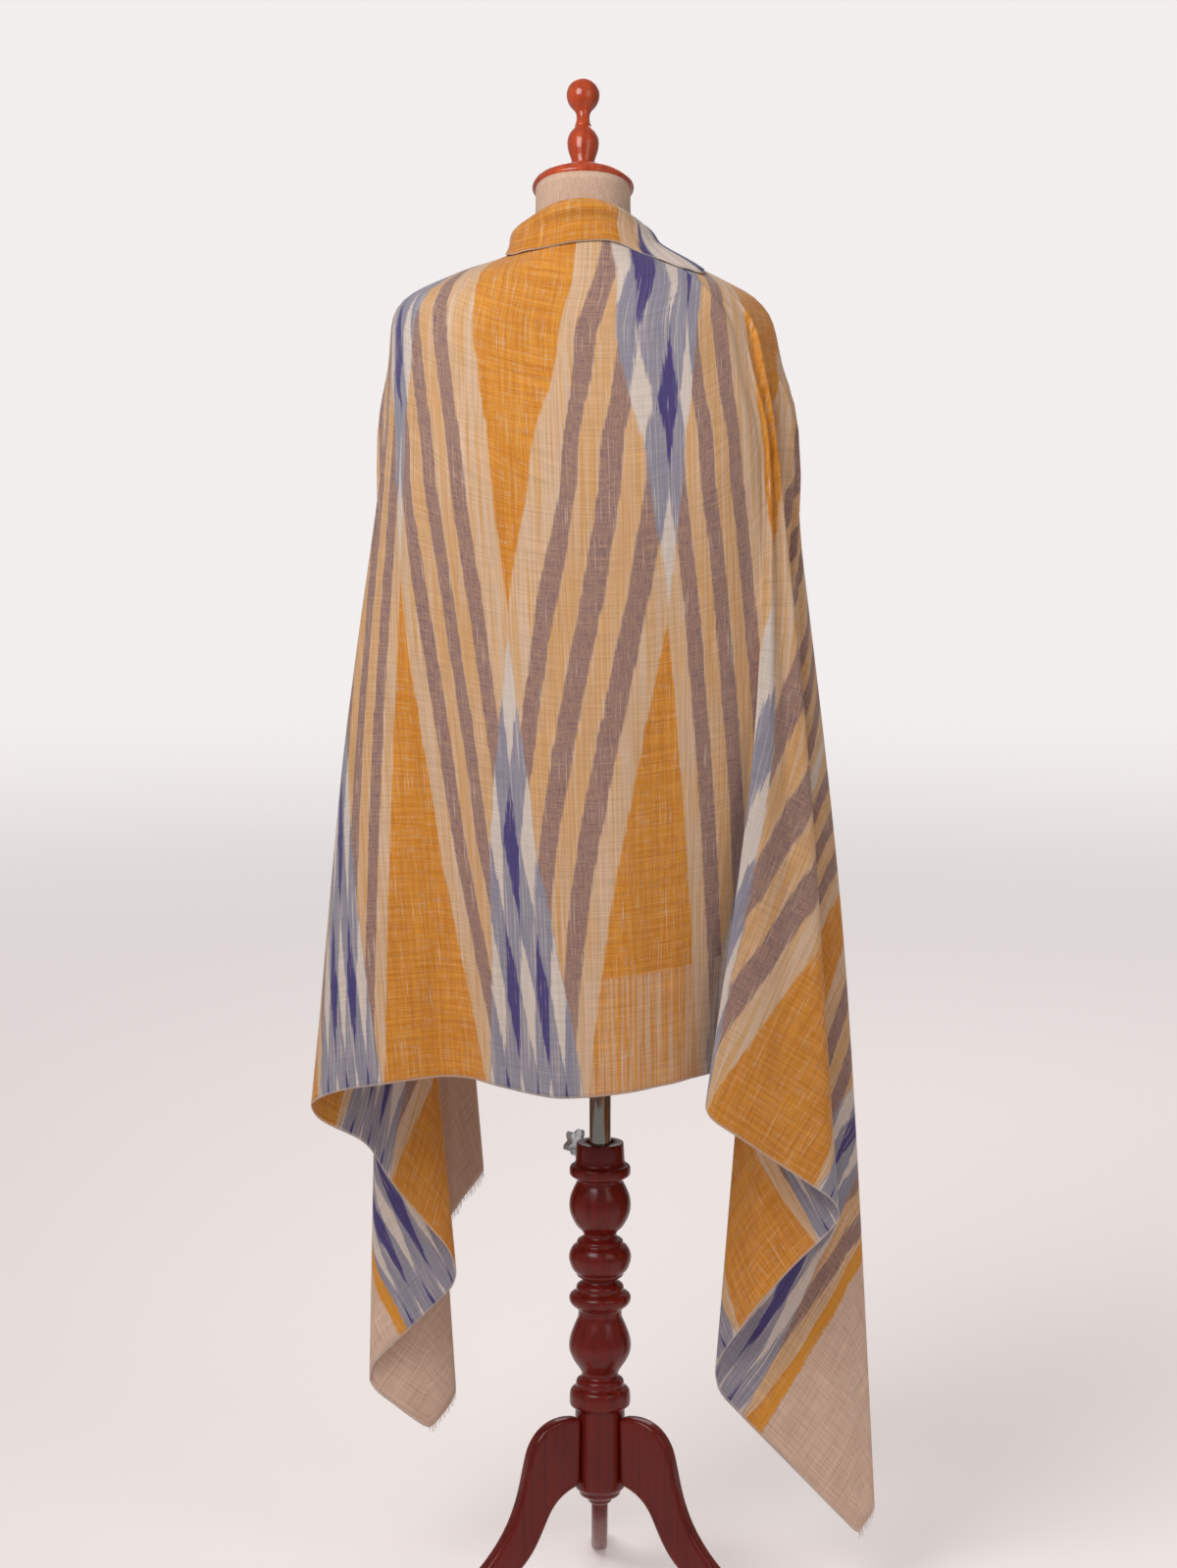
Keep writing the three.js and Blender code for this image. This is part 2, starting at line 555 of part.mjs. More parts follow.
// ---- the turned column ----
// Bored from the top for the mast. Rows of [radius, height above the floor].
const boreRadius = poleRadius + poleClear;
const boreBottom = 200;
const hubLow = 28;           // the hub's radius at its foot, and at its top
const hubHigh = 26.7;
const columnProfile = [
  [0, 130], [8, 130.6], [12.8, 134], [13, 137], [22, 141.5], [22.8, 147], [27, 150], [hubLow, 156], [hubHigh, 236],
  [26.8, 240], [32.4, 242.5], [32.8, 247], [32.8, 256], [31, 261], [25.5, 264], [26.2, 267.5],
  [25, 271.5], [20, 274.5], [19.6, 279], [22.5, 284], [30, 295], [33.9, 306], [32.8, 318], [27.5, 332],
  [23.5, 341], [23.3, 345], [24, 350], [31, 355], [33.6, 360.5], [32.6, 366], [25, 370.5], [25.9, 373.5],
  [24.5, 377], [19, 380.5], [19.4, 384], [25.2, 386.5], [25.4, 390], [30, 394], [33.5, 404], [33.4, 411],
  [29.5, 419], [24.6, 422], [24.9, 426], [18, 429.5], [17.6, 434], [22, 439], [24.6, 441], [30, 450],
  [33.4, 461], [32.6, 473], [28, 484], [24.4, 491], [25.5, 494.5], [32.4, 497.5], [32.9, 503], [32.2, 508],
  [26.4, 510.5], [26, 522], [25.4, 532.5], [24.2, 534], [boreRadius, 534], [boreRadius, boreBottom],
  [0, boreBottom],
];

// ---- the legs ----
// Side outline of a leg, from the hub outwards along its top and back along its underside.
const footReach = 262;
function legShape() {
  const shape = new THREE.Shape();
  shape.moveTo(hubHigh + seam, 232);
  shape.bezierCurveTo(56, 240, 78, 228, 88, 204);
  shape.bezierCurveTo(96, 180, 96, 158, 112, 126);
  shape.bezierCurveTo(134, 84, 178, 52, 226, 30);
  shape.bezierCurveTo(246, 22, footReach + 4, 17, footReach + 4, 7);
  shape.bezierCurveTo(footReach + 4, 3, footReach + 2, 0, footReach - 2, 0);
  shape.lineTo(footReach - 36, 0);
  shape.bezierCurveTo(202, 2, 150, 34, 104, 73);
  shape.bezierCurveTo(84, 90, 78, 106, 68, 126);
  shape.bezierCurveTo(60, 142, 50, 152, hubLow + seam, 158);
  shape.closePath();
  return shape;
}
const legBevel = 5;
const legNames = ["leg_far", "leg_left", "leg_right"];
const legTurns = [90, 210, 330];
legNames.slice(0, legCount).forEach((name, k) => {
  const geometry = new THREE.ExtrudeGeometry(legShape(), {
    depth: boardThick - 2 * legBevel, steps: 1, curveSegments: 6,
    bevelEnabled: true, bevelThickness: legBevel, bevelSize: legBevel, bevelOffset: -legBevel, bevelSegments: 1,
  });
  geometry.translate(0, 0, -(boardThick - 2 * legBevel) / 2);
  geometry.rotateX(Math.PI / 2);
  geometry.rotateZ(rad(legTurns[k]));
  add(name, geometry, colours.mahogany, 0.3);
});

// ---- the star knob and its screw ----
const knobHeight = 526;
const knobTurn = 133;        // direction of the screw from the column, anticlockwise from +X
const knobReach = 34;        // from the axis to the knob's inner face
const lobes = 5;
function knobShape() {
  const shape = new THREE.Shape();
  const steps = 40;
  for (let k = 0; k <= steps; k += 1) {
    const angle = (k * 2 * Math.PI) / steps;
    const radius = 12.2 + 3.4 * Math.cos(lobes * angle);
    const point = [radius * Math.cos(angle), radius * Math.sin(angle)];
    if (k === 0) shape.moveTo(...point);
    else if (k < steps) shape.lineTo(...point);
  }
  shape.closePath();
  return shape;
}
const screwRadius = 3;
const screwDepth = poleRadius + poleClear + 0.4;
function starKnob() {
  const head = new THREE.ExtrudeGeometry(knobShape(), {
    depth: 7, steps: 1, curveSegments: 1, bevelEnabled: true, bevelThickness: 1.5, bevelSize: 1.5,
    bevelOffset: -1.5, bevelSegments: 1,
  });
  head.translate(0, 0, knobReach + 1.5);
  const screw = turned([[0, screwDepth], [screwRadius, screwDepth], [screwRadius, knobReach + 3],
    [0, knobReach + 3]], 16);
  return toSolid(head).add(toSolid(screw));
}
function screwHole() {
  const hole = turned([[0, 0], [screwRadius + seam, 0], [screwRadius + seam, knobReach], [0, knobReach]], 16);
  return toSolid(hole);
}
const knobPlace = new THREE.Matrix4().makeTranslation(0, 0, knobHeight)
  .multiply(new THREE.Matrix4().makeRotationZ(rad(knobTurn)))
  .multiply(new THREE.Matrix4().makeRotationY(Math.PI / 2));
add("star_knob", toGeometry(starKnob()).applyMatrix4(knobPlace), colours.clear, 0.1);

const holeSolid = toSolid(toGeometry(screwHole()).applyMatrix4(knobPlace));
add("column", toGeometry(toSolid(turned(columnProfile)).subtract(holeSolid)), colours.mahogany, 0.3);

export default group;
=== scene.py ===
"""A pashmina shawl draped over a limbless dress form on a turned wooden stand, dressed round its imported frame.
Tables are in millimetres from the stand's axis, and MM turns them into metres."""
import math

import bmesh
import bpy
import numpy as np
from mathutils import Matrix, Vector


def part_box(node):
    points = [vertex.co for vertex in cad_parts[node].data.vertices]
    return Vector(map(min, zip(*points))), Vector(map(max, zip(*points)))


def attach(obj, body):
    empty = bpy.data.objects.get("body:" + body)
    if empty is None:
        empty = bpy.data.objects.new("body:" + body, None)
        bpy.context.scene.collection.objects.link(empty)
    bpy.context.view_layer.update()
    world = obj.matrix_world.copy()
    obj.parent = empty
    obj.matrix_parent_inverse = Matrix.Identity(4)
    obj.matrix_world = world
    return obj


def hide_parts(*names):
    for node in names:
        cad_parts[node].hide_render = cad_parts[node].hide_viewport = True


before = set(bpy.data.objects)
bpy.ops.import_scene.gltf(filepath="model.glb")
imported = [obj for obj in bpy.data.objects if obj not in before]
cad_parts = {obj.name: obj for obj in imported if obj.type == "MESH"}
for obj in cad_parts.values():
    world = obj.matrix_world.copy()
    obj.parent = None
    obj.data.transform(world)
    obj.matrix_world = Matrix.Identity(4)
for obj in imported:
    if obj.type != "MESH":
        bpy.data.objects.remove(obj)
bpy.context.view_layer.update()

MM = 0.001
TINY = 1e-9
SLACK = 0.3  # between pieces that sit on each other, or where parts of one overlap
OVAL_POWER = 2.3  # 2 is an ellipse, and more is squarer
mast_low, mast_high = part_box("mast")
STAND = np.array([(mast_low.x + mast_high.x) / 2, (mast_low.y + mast_high.y) / 2, 0.0])


# ---- small helpers ----
def mesh_object(name, points, faces, smooth=True):
    """A mesh object from points in metres and faces."""
    mesh = bpy.data.meshes.new(name)
    mesh.from_pydata([tuple(p) for p in points], [], faces)
    mesh.update()
    if smooth:
        mesh.polygons.foreach_set("use_smooth", [True] * len(mesh.polygons))
    thing = bpy.data.objects.new(name, mesh)
    bpy.context.scene.collection.objects.link(thing)
    return thing


def tube_faces(rings, sides, first=0):
    """Faces between rings of points that start at index first, turning to the left as they rise."""
    starts = [first + ring * sides for ring in range(rings - 1)]
    pairs = [(start + k, start + (k + 1) % sides) for start in starts for k in range(sides)]
    return [(a, b, b + sides, a + sides) for a, b in pairs]


def mix(a, b, t):
    return a + (b - a) * t


def signed_power(value, power):
    return np.sign(value) * np.abs(value) ** power


def catmull(stops, levels):
    """Catmull-Rom down equally spaced stops, (stops, columns, axes), at the given levels, (..., columns)."""
    last = len(stops) - 1
    levels = np.clip(levels, 0, last)
    i = np.minimum(np.floor(levels).astype(int), last - 1)
    t = (levels - i)[..., None]
    columns = np.arange(stops.shape[1])
    p0, p1, p2, p3 = (stops[np.clip(k, 0, last), columns] for k in (i - 1, i, i + 1, i + 2))
    return p1 + 0.5 * t * (p2 - p0 + t * (2 * p0 - 5 * p1 + 4 * p2 - p3 + t * (3 * (p1 - p2) + p3 - p0)))


def superellipse(turns):
    """Sine and cosine of turns in degrees, bent so that they trace a squarer oval."""
    angle = np.radians(turns)
    return signed_power(np.sin(angle), 2 / OVAL_POWER), signed_power(np.cos(angle), 2 / OVAL_POWER)


def unit(vectors):
    """The same directions, one unit long."""
    return vectors / np.maximum(np.linalg.norm(vectors, axis=-1, keepdims=True), TINY)


# ---- the form under the cloth, as hoops round it ----
# Turns run round the neck's centre line: 0 is the back, +90 the right side, -90 the left, 180 the front.
# Levels run down the cloth: 0 is its roll at the neck, CHEST the lowest hoop, then a middle stop and FOOT, its hem.
# Places run along its free edge: from the top selvedge at the left, down that end, along the hem and up again.
NECK_X = -18
# Hoops: half the width, the reach behind and before, the height at the back, the sides and the front, and x.
HOOPS = [
    (58, 66, 54, 1533, 1506, 1468, -18),
    (74, 75, 66, 1490, 1478, 1438, -18),
    (132, 90, 84, 1452, 1457, 1402, -18),
    (184, 104, 100, 1405, 1425, 1365, -24),
    (199, 117, 112, 1345, 1365, 1315, -21),
    (213, 132, 128, 1250, 1250, 1250, -16),
]
CHEST = len(HOOPS) - 1
FOOT = CHEST + 2
MIDDLE_SHARE = 0.45  # of the way from the lowest hoop to the hem, where the middle stop lies
SIDE_TURN = 90
FRONT_TURN = 151  # where the top selvedge leaves the front of the form


def on_hoop(hoop, turns, inset=0.0, drop=0.0):
    """Points of a hoop at an array of turns."""
    half, behind, before, back_z, side_z, front_z, x = hoop
    sine, cosine = superellipse(turns)
    depth = np.where(cosine > 0, behind, before) - inset
    level = np.where(cosine > 0, back_z, front_z)
    z = mix(side_z, level, np.cos(np.radians(turns)) ** 2) - drop
    return np.stack([x + (half - inset) * sine, -depth * cosine, z], axis=-1)


# ---- the folds of the cloth ----
# u, v: where the fold line meets the cloth's edge when it lies flat. turn: where it leaves the form.
# x, y, z: its foot. bulge: how far it stands out halfway down. soft: the width each side that rounds it.
CLOTH_LENGTH = 2000
CLOTH_WIDTH = 1000
FOLD_KEYS = ("u", "v", "turn", "x", "y", "z", "bulge", "soft")
FOLDS = {
    "left_front_edge": (-1000, 0, -151, -190, 215, 670, 0, 30),
    "left_front_1": (-1000, 120, -145, -148, 200, 645, 0, 40),
    "left_front_2": (-1000, 290, -137, -222, 182, 560, 0, 50),
    "left_front_3": (-1000, 470, -129, -120, 160, 473, 0, 45),
    "left_front_4": (-1000, 760, -119, -232, 136, 325, 0, 50),
    "left_front_5": (-1000, 930, -110, -148, 114, 228, 0, 40),
    "left_tip": (-1000, 1000, -106, -189, 104, 180, 0, 8),
    "left_fold_3": (-897, 1000, -102, -268, 90, 243, 0, 40),
    "left_fold_2": (-708, 1000, -92, -142, 40, 378, 0, 45),
    "left_ripple_2": (-575, 1000, -88, -228, 6, 490, 0, 30),
    "left_ripple_1": (-520, 1000, -85, -246, -12, 535, 0, 25),
    "left_fold_1": (-433, 1000, -80, -318, -40, 575, -6, 45),
    "back_left_side": (-362, 1000, -72, -284, -98, 612, -4, 34),
    "back_left_crest": (-300, 1000, -60, -217, -108, 622, -2, 30),
    "back_left_valley": (-235, 1000, -48, -156, -82, 627, 0, 30),
    "back_left_slope": (-175, 1000, -34, -108, -118, 622, 0, 30),
    "back_middle": (-80, 1000, -8, -38, -172, 618, 0, 45),
    "back_right_crest": (10, 1000, 12, 48, -150, 625, 0, 40),
    "back_right_slope": (95, 1000, 36, 112, -98, 630, 4, 30),
    "crease_valley": (145, 1000, 52, 150, -72, 632, 14, 24),
    "crease_ridge": (225, 1000, 58, 96, -152, 606, 16, 34),
    "right_ridge": (435, 1000, 67, 265, -92, 480, 6, 45),
    "right_ripple": (560, 1000, 74, 196, -48, 402, 4, 55),
    "right_fold_2": (715, 1000, 81, 112, 8, 270, 0, 45),
    "right_tip": (1000, 1000, 91, 285, 60, 74, 10, 8),
    "right_front_6": (1000, 945, 96, 312, 74, 112, 14, 35),
    "right_front_5": (1000, 760, 105, 188, 100, 222, 8, 50),
    "right_front_4": (1000, 510, 116, 286, 130, 370, 6, 50),
    "right_front_3": (1000, 290, 127, 186, 154, 480, 0, 45),
    "right_front_2": (1000, 120, 139, 262, 174, 560, 0, 35),
    "right_front_edge": (1000, 0, 151, 205, 190, 590, 0, 30),
}
FOLD = {key: np.array([row[k] for row in FOLDS.values()], float) for k, key in enumerate(FOLD_KEYS)}
END_U = CLOTH_LENGTH / 2  # where the cloth ends, to each side of its middle
LAST_PLACE = 2 * CLOTH_WIDTH + CLOTH_LENGTH
PLACE = np.where(
    FOLD["u"] == -END_U,
    FOLD["v"],
    np.where(FOLD["u"] == END_U, LAST_PLACE - FOLD["v"], CLOTH_WIDTH + FOLD["u"] + END_U),
)
PLACE_OF = dict(zip(FOLDS, PLACE))


def fold_at(places, key):
    """A fold value along the cloth's free edge: straight between folds, rounded at each."""
    values = FOLD[key]
    result = np.interp(places, PLACE, values)
    for k in range(1, len(PLACE) - 1):
        reach = FOLD["soft"][k]
        off = places - PLACE[k]
        near = np.abs(off) < reach
        t = (off[near] + reach) / (2 * reach)
        slope_in = (values[k] - values[k - 1]) / (PLACE[k] - PLACE[k - 1])
        slope_out = (values[k + 1] - values[k]) / (PLACE[k + 1] - PLACE[k])
        before = values[k] - slope_in * reach
        after = values[k] + slope_out * reach
        result[near] = before * (1 - t) ** 2 + 2 * t * (1 - t) * values[k] + after * t * t
    return result


def fold_lines(places):
    """Stops down the fold line of each place, hoop by hoop to its middle and foot: (stops, places, 3)."""
    turns = fold_at(places, "turn")
    stops = [on_hoop(hoop, turns) for hoop in HOOPS]
    foot = np.stack([fold_at(places, "x"), fold_at(places, "y"), fold_at(places, "z")], axis=-1)
    middle = mix(stops[CHEST], foot, MIDDLE_SHARE)
    middle[:, 0] += fold_at(places, "bulge")
    return np.stack(stops + [middle, foot]), turns


def outward(grid):
    """Outward normals of a grid whose rows run down the cloth and whose columns run along it to the right."""
    down = np.gradient(grid, axis=0)
    along = np.gradient(grid, axis=1)
    return unit(np.cross(down, along))


# ---- the shawl's surface ----
COLUMNS = 440
GRID_PLACES = np.linspace(0, LAST_PLACE, COLUMNS + 1)
YOKE_ROWS = 27  # from the roll to the lowest hoop
FALL_ROWS = 63  # and on to the hem
FLAP_ROWS = 12
ARC_TURNS = (30, 90, 150)  # of the roll that joins the flap to the rest

# The flap folded over at the nape, in pairs of rows: turns or shares of its width, and values.
FLAP_TURNS = (-151, -140, -125, -95, -60, -30, 0, 25, 41, 52, 58, 66, 78, 92, 106, 125, 140, 151)
FLAP_WIDTHS = (4, 12, 24, 46, 50, 46, 40, 38, 48, 60, 72, 84, 80, 68, 50, 28, 10, 4)
EVEN_OUT = 9  # how many columns each width is averaged over
PUFF_TURNS = (-151, -120, -90, -65, -40, -15, 20, 45, 60, 80, 100, 125, 151)  # where it stands fuller
PUFFS = (0, 3, 9, 10, 6, 3, 1, 4, 9, 9, 6, 2, 0)
CURL_SHARES = (0, 0.12, 0.28, 0.48, 0.7, 1)  # down the flap, it rolls out and dips again
CURLS = (0, 7.0, 8.6, 0.6, 0.2, 0)
CURL_TURNS = (-75, -45, -25, 25, 45)  # and does so most over the back
CURL_AMOUNTS = (0.1, 0.35, 1, 1, 0.3)
SHIFT_TURNS = (-151, 15, 50, 90, 151)  # it lies askew, so its pattern sits a little along
FLAP_SHIFTS = (-38, -36, -26, -8, 8)
HOOP_SPACING = 42  # about the distance between the first hoops
ROLL_LIFT = 3.2  # between the two layers at the roll
ROLL_RISE = 0.7  # how far it stands up, as a share of that lift
EDGE_DROP = 0.35  # the share of the lift that is lost by the flap's edge
FLAP_WAVES = ((1.2, 0.05, 0), (0.9, 0.021, 2))  # of its edge: height, rate and start
FLUTTER = 0.35  # how much of them shows
LEAST_STEP = 0.4  # in levels, so that its normals can be read where it is narrow

# Creases of the cloth: from (place, level) to (place, level), width each side, and height, outwards if positive.
CREASES = [
    (1600, 4.2, 1568, 7.4, 16, 4.0), (1660, 3.4, 1690, 7.0, 18, -3.5), (1735, 4.6, 1742, 7.4, 15, 3.0),
    (1800, 3.2, 1842, 6.4, 20, 2.5), (1868, 5.0, 1880, 7.4, 18, -2.5), (1935, 2.6, 1928, 6.0, 22, 2.0),
    (1975, 5.2, 1982, 7.4, 16, 2.2), (2040, 3.6, 2032, 7.4, 20, -2.4), (2090, 2.4, 2082, 5.6, 18, 2.2),
    (2126, 5.0, 2140, 7.4, 13, -3.0), (2160, 1.6, 2138, 5.4, 14, 3.2), (2192, 3.0, 2200, 6.2, 12, -2.2),
    (2262, 3.4, 2300, 7.3, 20, 3.4), (2340, 4.4, 2352, 7.4, 22, -3.0), (2420, 2.4, 2402, 6.0, 18, 2.6),
    (2500, 4.2, 2528, 7.4, 24, 4.0), (2610, 4.6, 2618, 7.4, 24, -4.4), (2680, 3.8, 2668, 6.6, 20, 3.4),
    (2790, 4.4, 2822, 7.4, 26, 5.0), (2905, 4.8, 2918, 7.3, 22, -3.6), (3110, 4.2, 3130, 7.4, 30, 4.4),
    (3330, 4.0, 3352, 7.4, 34, -4.2), (3600, 3.6, 3612, 7.2, 30, 4.0), (3800, 4.2, 3790, 7.4, 26, -3.4),
    (1498, 4.6, 1508, 7.4, 18, -3.6), (1390, 4.2, 1402, 7.4, 22, 4.4), (1255, 4.4, 1240, 7.4, 24, -4.0),
    (1180, 4.0, 1170, 6.8, 20, 3.4), (1060, 4.8, 1052, 7.4, 18, 3.0), (860, 4.4, 842, 7.4, 26, -3.8),
    (620, 4.0, 604, 7.4, 32, 4.6), (380, 4.4, 372, 7.4, 28, -4.0), (205, 3.8, 196, 7.2, 24, 3.6),
    (1880, 1.0, 1700, 3.6, 26, 1.6), (2100, 0.8, 2240, 3.2, 22, 1.8), (1790, 1.4, 1560, 3.4, 24, 1.4),
    (2405, 2.9, 2425, 6.6, 26, 5.0), (2530, 2.9, 2500, 6.9, 46, -17.0), (2900, 2.4, 2940, 7.2, 190, 10.0),
]
CREASE_RISE = 0.2  # the share of its length over which a crease begins
CREASE_HEAD = 0.12  # how far into its swell it starts
CREASE_POWER = 0.8  # under 1, it is highest above its middle
CREASE_STRAY = 0.35  # how far it wanders to the side, in widths
STRAY_RATE = 2.3  # how fast, for each level
STRAY_START = 0.013  # and its start, for each mm of place
INWARD_OVER_FORM = 0.3  # the most that a trough sinks where the cloth lies on the form
LEAVES_FORM = 4.3  # the level at which it hangs free
HEM_WAVES = ((1.0, 0.047, 1.1), (0.7, 0.083, 0.4), (0.5, 0.139, 0))  # height, rate and start
HEM_HEIGHT = 1.1


def waves(places, rows):
    """The sum of several waves along the cloth's edge, given by height, rate and start."""
    return sum(height * np.sin(places * rate + start) for height, rate, start in rows)


def crease_heights(places, levels):
    """How far the creases move each point of the grid outwards."""
    heights = np.zeros((len(levels), len(places)))
    for place_a, level_a, place_b, level_b, width, height in CREASES:
        share = (levels - level_a) / (level_b - level_a)
        inside = np.clip(share, 0, 1)
        swell = np.clip(np.sin(np.pi * mix(CREASE_HEAD, 1, inside) ** CREASE_POWER), 0, 1)
        fade = swell * np.clip(share / CREASE_RISE, 0, 1) * (share < 1)
        stray = width * CREASE_STRAY * np.sin(levels * STRAY_RATE + place_a * STRAY_START)
        off = (places - (mix(place_a, place_b, inside) + stray)[:, None]) / width
        heights += height * fade[:, None] * np.exp(-off**2)
    # soft waves along the free edge, which die out up the cloth
    sway = np.clip((levels - CHEST) / (FOOT - CHEST), 0, 1)[:, None] ** 2
    heights += HEM_HEIGHT * sway * waves(places, HEM_WAVES)
    lying = (levels < LEAVES_FORM)[:, None]
    return np.where(lying, np.maximum(heights, -INWARD_OVER_FORM), heights)


def hoop_arcs():
    """For each hoop, the distance round it from the back, one value for each degree to the side."""
    degrees = np.arange(SIDE_TURN + 1)
    rings = np.stack([on_hoop(hoop, degrees)[:, :2] for hoop in HOOPS])
    steps = np.linalg.norm(np.diff(rings, axis=1, prepend=rings[:, :1]), axis=-1)
    return degrees, np.cumsum(steps, axis=1)


NAPE_U = -50  # the place along the length that lies on the nape
CHEST_U = -40  # and the one that lies straight below it at the lowest hoop
FRONT_RUN = 95  # along the selvedge, from over the shoulder to the front edge
# How far the cloth's own lines trail behind a fold line halfway down it, where the cloth hangs askew.
LAGS = {
    "crease_valley": 0, "crease_ridge": -50, "right_ridge": -138, "right_ripple": -105, "right_fold_2": -40,
    "right_tip": 0,
}


def flat_places(stops, turns, places, flap_widths):
    """Where the hoops' stops, (stops, places, 2), and the free edge lie on the flat cloth, as u and v. u runs
    along it from its middle, and v runs down from the top selvedge."""
    degrees, arcs = hoop_arcs()
    turned = np.abs(turns)
    front = np.clip((turned - SIDE_TURN) / (FRONT_TURN - SIDE_TURN), 0, 1)
    flat = []
    depth = flap_widths
    for k in range(CHEST + 1):
        if k:
            depth = depth + np.linalg.norm(stops[k] - stops[k - 1], axis=-1)
        arc = np.interp(turned, degrees, arcs[k])
        run = np.sign(turns) * mix(arc, FRONT_RUN + depth, front)
        flat.append(np.stack([mix(NAPE_U, CHEST_U, k / CHEST) + run, depth * (1 - front)], axis=-1))
    edge_u = np.clip(places - CLOTH_WIDTH - END_U, -END_U, END_U)
    edge_v = np.minimum(np.minimum(places, LAST_PLACE - places), CLOTH_WIDTH)
    return np.stack(flat), np.stack([edge_u, edge_v], axis=-1)


# The pattern stands in columns side by side along the cloth. Even ones start with a mustard triangle at the
# top, odd ones with a chain of blue lozenges. These are the places of their centres along the cloth, and of
# three stages between 0 and 1, at four depths down from the top selvedge.
COLUMN_NUMBERS = (-6, -5, -4, -3, -2, -1, 0, 0.3, 0.5, 0.8, 1, 2, 3, 4, 5, 6)
CENTRE_ROWS = {
    200: (-765, -640, -520, -435, -345, -250, -111, -60, -50, 4, 52, 172, 322, 440, 565, 716),
    450: (-765, -640, -520, -435, -345, -250, -124, -84, -47, 8, 44, 166, 322, 440, 565, 716),
    740: (-765, -640, -520, -433, -345, -258, -137, -90, -56, -4, 30, 156, 322, 440, 565, 716),
    1000: (-765, -640, -520, -430, -345, -266, -114, -76, -51, -14, 10, 150, 322, 440, 565, 716),
}


def chart_column(u, v):
    """The number of the pattern's column at each flat place, with its fraction."""
    rows = np.array(list(CENTRE_ROWS.values()), float)
    last = len(rows) - 1
    depths = np.interp(v.ravel(), list(CENTRE_ROWS), range(len(rows)))
    result = np.empty(u.size)
    for k, (one, depth) in enumerate(zip(u.ravel(), depths)):
        above = int(depth)
        centres = mix(rows[above], rows[min(above + 1, last)], depth - above)
        if one < centres[0]:
            result[k] = COLUMN_NUMBERS[0] + (one - centres[0]) / (centres[1] - centres[0])
        elif one > centres[-1]:
            result[k] = COLUMN_NUMBERS[-1] + (one - centres[-1]) / (centres[-1] - centres[-2])
        else:
            result[k] = np.interp(one, centres, COLUMN_NUMBERS)
    return result.reshape(u.shape)


def grid_mesh(name, grid, uv_maps):
    """A mesh from a grid of points in millimetres, with UV maps given for each grid point."""
    rows, columns = grid.shape[:2]
    index = np.arange(rows * columns).reshape(rows, columns)
    faces = np.stack([index[:-1, :-1], index[1:, :-1], index[1:, 1:], index[:-1, 1:]], axis=-1).reshape(-1, 4)
    thing = mesh_object(name, grid.reshape(-1, 3) * MM + STAND, faces.tolist())
    corners = np.empty(len(thing.data.loops), int)
    thing.data.loops.foreach_get("vertex_index", corners)
    for map_name, values in uv_maps.items():
        layer = thing.data.uv_layers.new(name=map_name)
        layer.data.foreach_set("uv", values.reshape(-1, 2)[corners].astype(np.float32).ravel())
    return thing


def shawl_grid():
    """The shawl's middle surface from the flap's free edge over the roll to the hem, with its flat places."""
    places = GRID_PLACES
    levels = np.concatenate([np.linspace(0, CHEST, YOKE_ROWS), np.linspace(CHEST, FOOT, FALL_ROWS + 1)[1:]])
    stops, turns = fold_lines(places)
    spread = np.repeat(levels[:, None], len(places), axis=1)
    body = catmull(stops, spread)
    normals = outward(body)
    body = body + normals * crease_heights(places, levels)[..., None]

    # the flap, from the roll to its free edge
    widths = np.interp(turns, FLAP_TURNS, FLAP_WIDTHS)
    widths = np.convolve(np.pad(widths, EVEN_OUT // 2, mode="edge"), np.ones(EVEN_OUT) / EVEN_OUT, mode="valid")
    shares = np.linspace(0, 1, FLAP_ROWS + 1)[:, None]
    flap_levels = shares * widths / HOOP_SPACING
    flap_out = outward(catmull(stops, np.maximum(flap_levels, shares * LEAST_STEP)))
    lift = ROLL_LIFT * (1 - EDGE_DROP * shares**2)
    lift = lift + np.interp(shares, CURL_SHARES, CURLS) * np.interp(turns, CURL_TURNS, CURL_AMOUNTS)
    lift += np.interp(turns, PUFF_TURNS, PUFFS) * np.sin(np.pi * shares)
    lift += FLUTTER * shares * waves(places, FLAP_WAVES)
    flap = catmull(stops, flap_levels) + flap_out * lift[..., None]

    # the roll that joins it to the rest
    angles = np.radians(ARC_TURNS)[:, None, None]
    rise = 0.5 + 0.5 * np.cos(angles)
    roll = body[0] + ROLL_LIFT * (normals[0] * rise - unit(body[1] - body[0]) * ROLL_RISE * np.sin(angles))
    grid = np.concatenate([flap[::-1], roll, body])

    # where all of it lies on the flat cloth
    flat_stops, edge = flat_places(stops, turns, places, widths)
    yoke = catmull(flat_stops, spread[:YOKE_ROWS])
    run = np.cumsum(np.linalg.norm(np.diff(body[YOKE_ROWS - 1:], axis=0), axis=-1), axis=0)
    share = run / run[-1]
    fall = mix(yoke[-1], edge, share[..., None])
    lag = np.interp(places, [PLACE_OF[name] for name in LAGS], list(LAGS.values()))
    fall[..., 0] += 2 * share * (1 - share) * lag
    shift = np.interp(turns, SHIFT_TURNS, FLAP_SHIFTS)
    flap_flat = np.repeat(yoke[:1], FLAP_ROWS + 1, axis=0)
    flap_flat[..., 1] *= 1 - shares
    flap_flat[..., 0] += shift
    roll_flat = np.repeat(yoke[:1], len(ARC_TURNS), axis=0)
    roll_flat[..., 0] += shift * rise[..., 0]
    return grid, np.concatenate([flap_flat[::-1], roll_flat, yoke, fall])


SHAWL_NODES = ["left_shoulder", "upper_back", "right_shoulder", "nape_flap"]
SHAWL_NODES += [f"{side}_fall_{k}" for side in ("left", "right") for k in range(1, 9)]
SHAWL_NODES += ["back_left", "back_centre_left", "back_centre_right", "back_right"]
SHELL = 0.8  # the thickness of the shown cloth

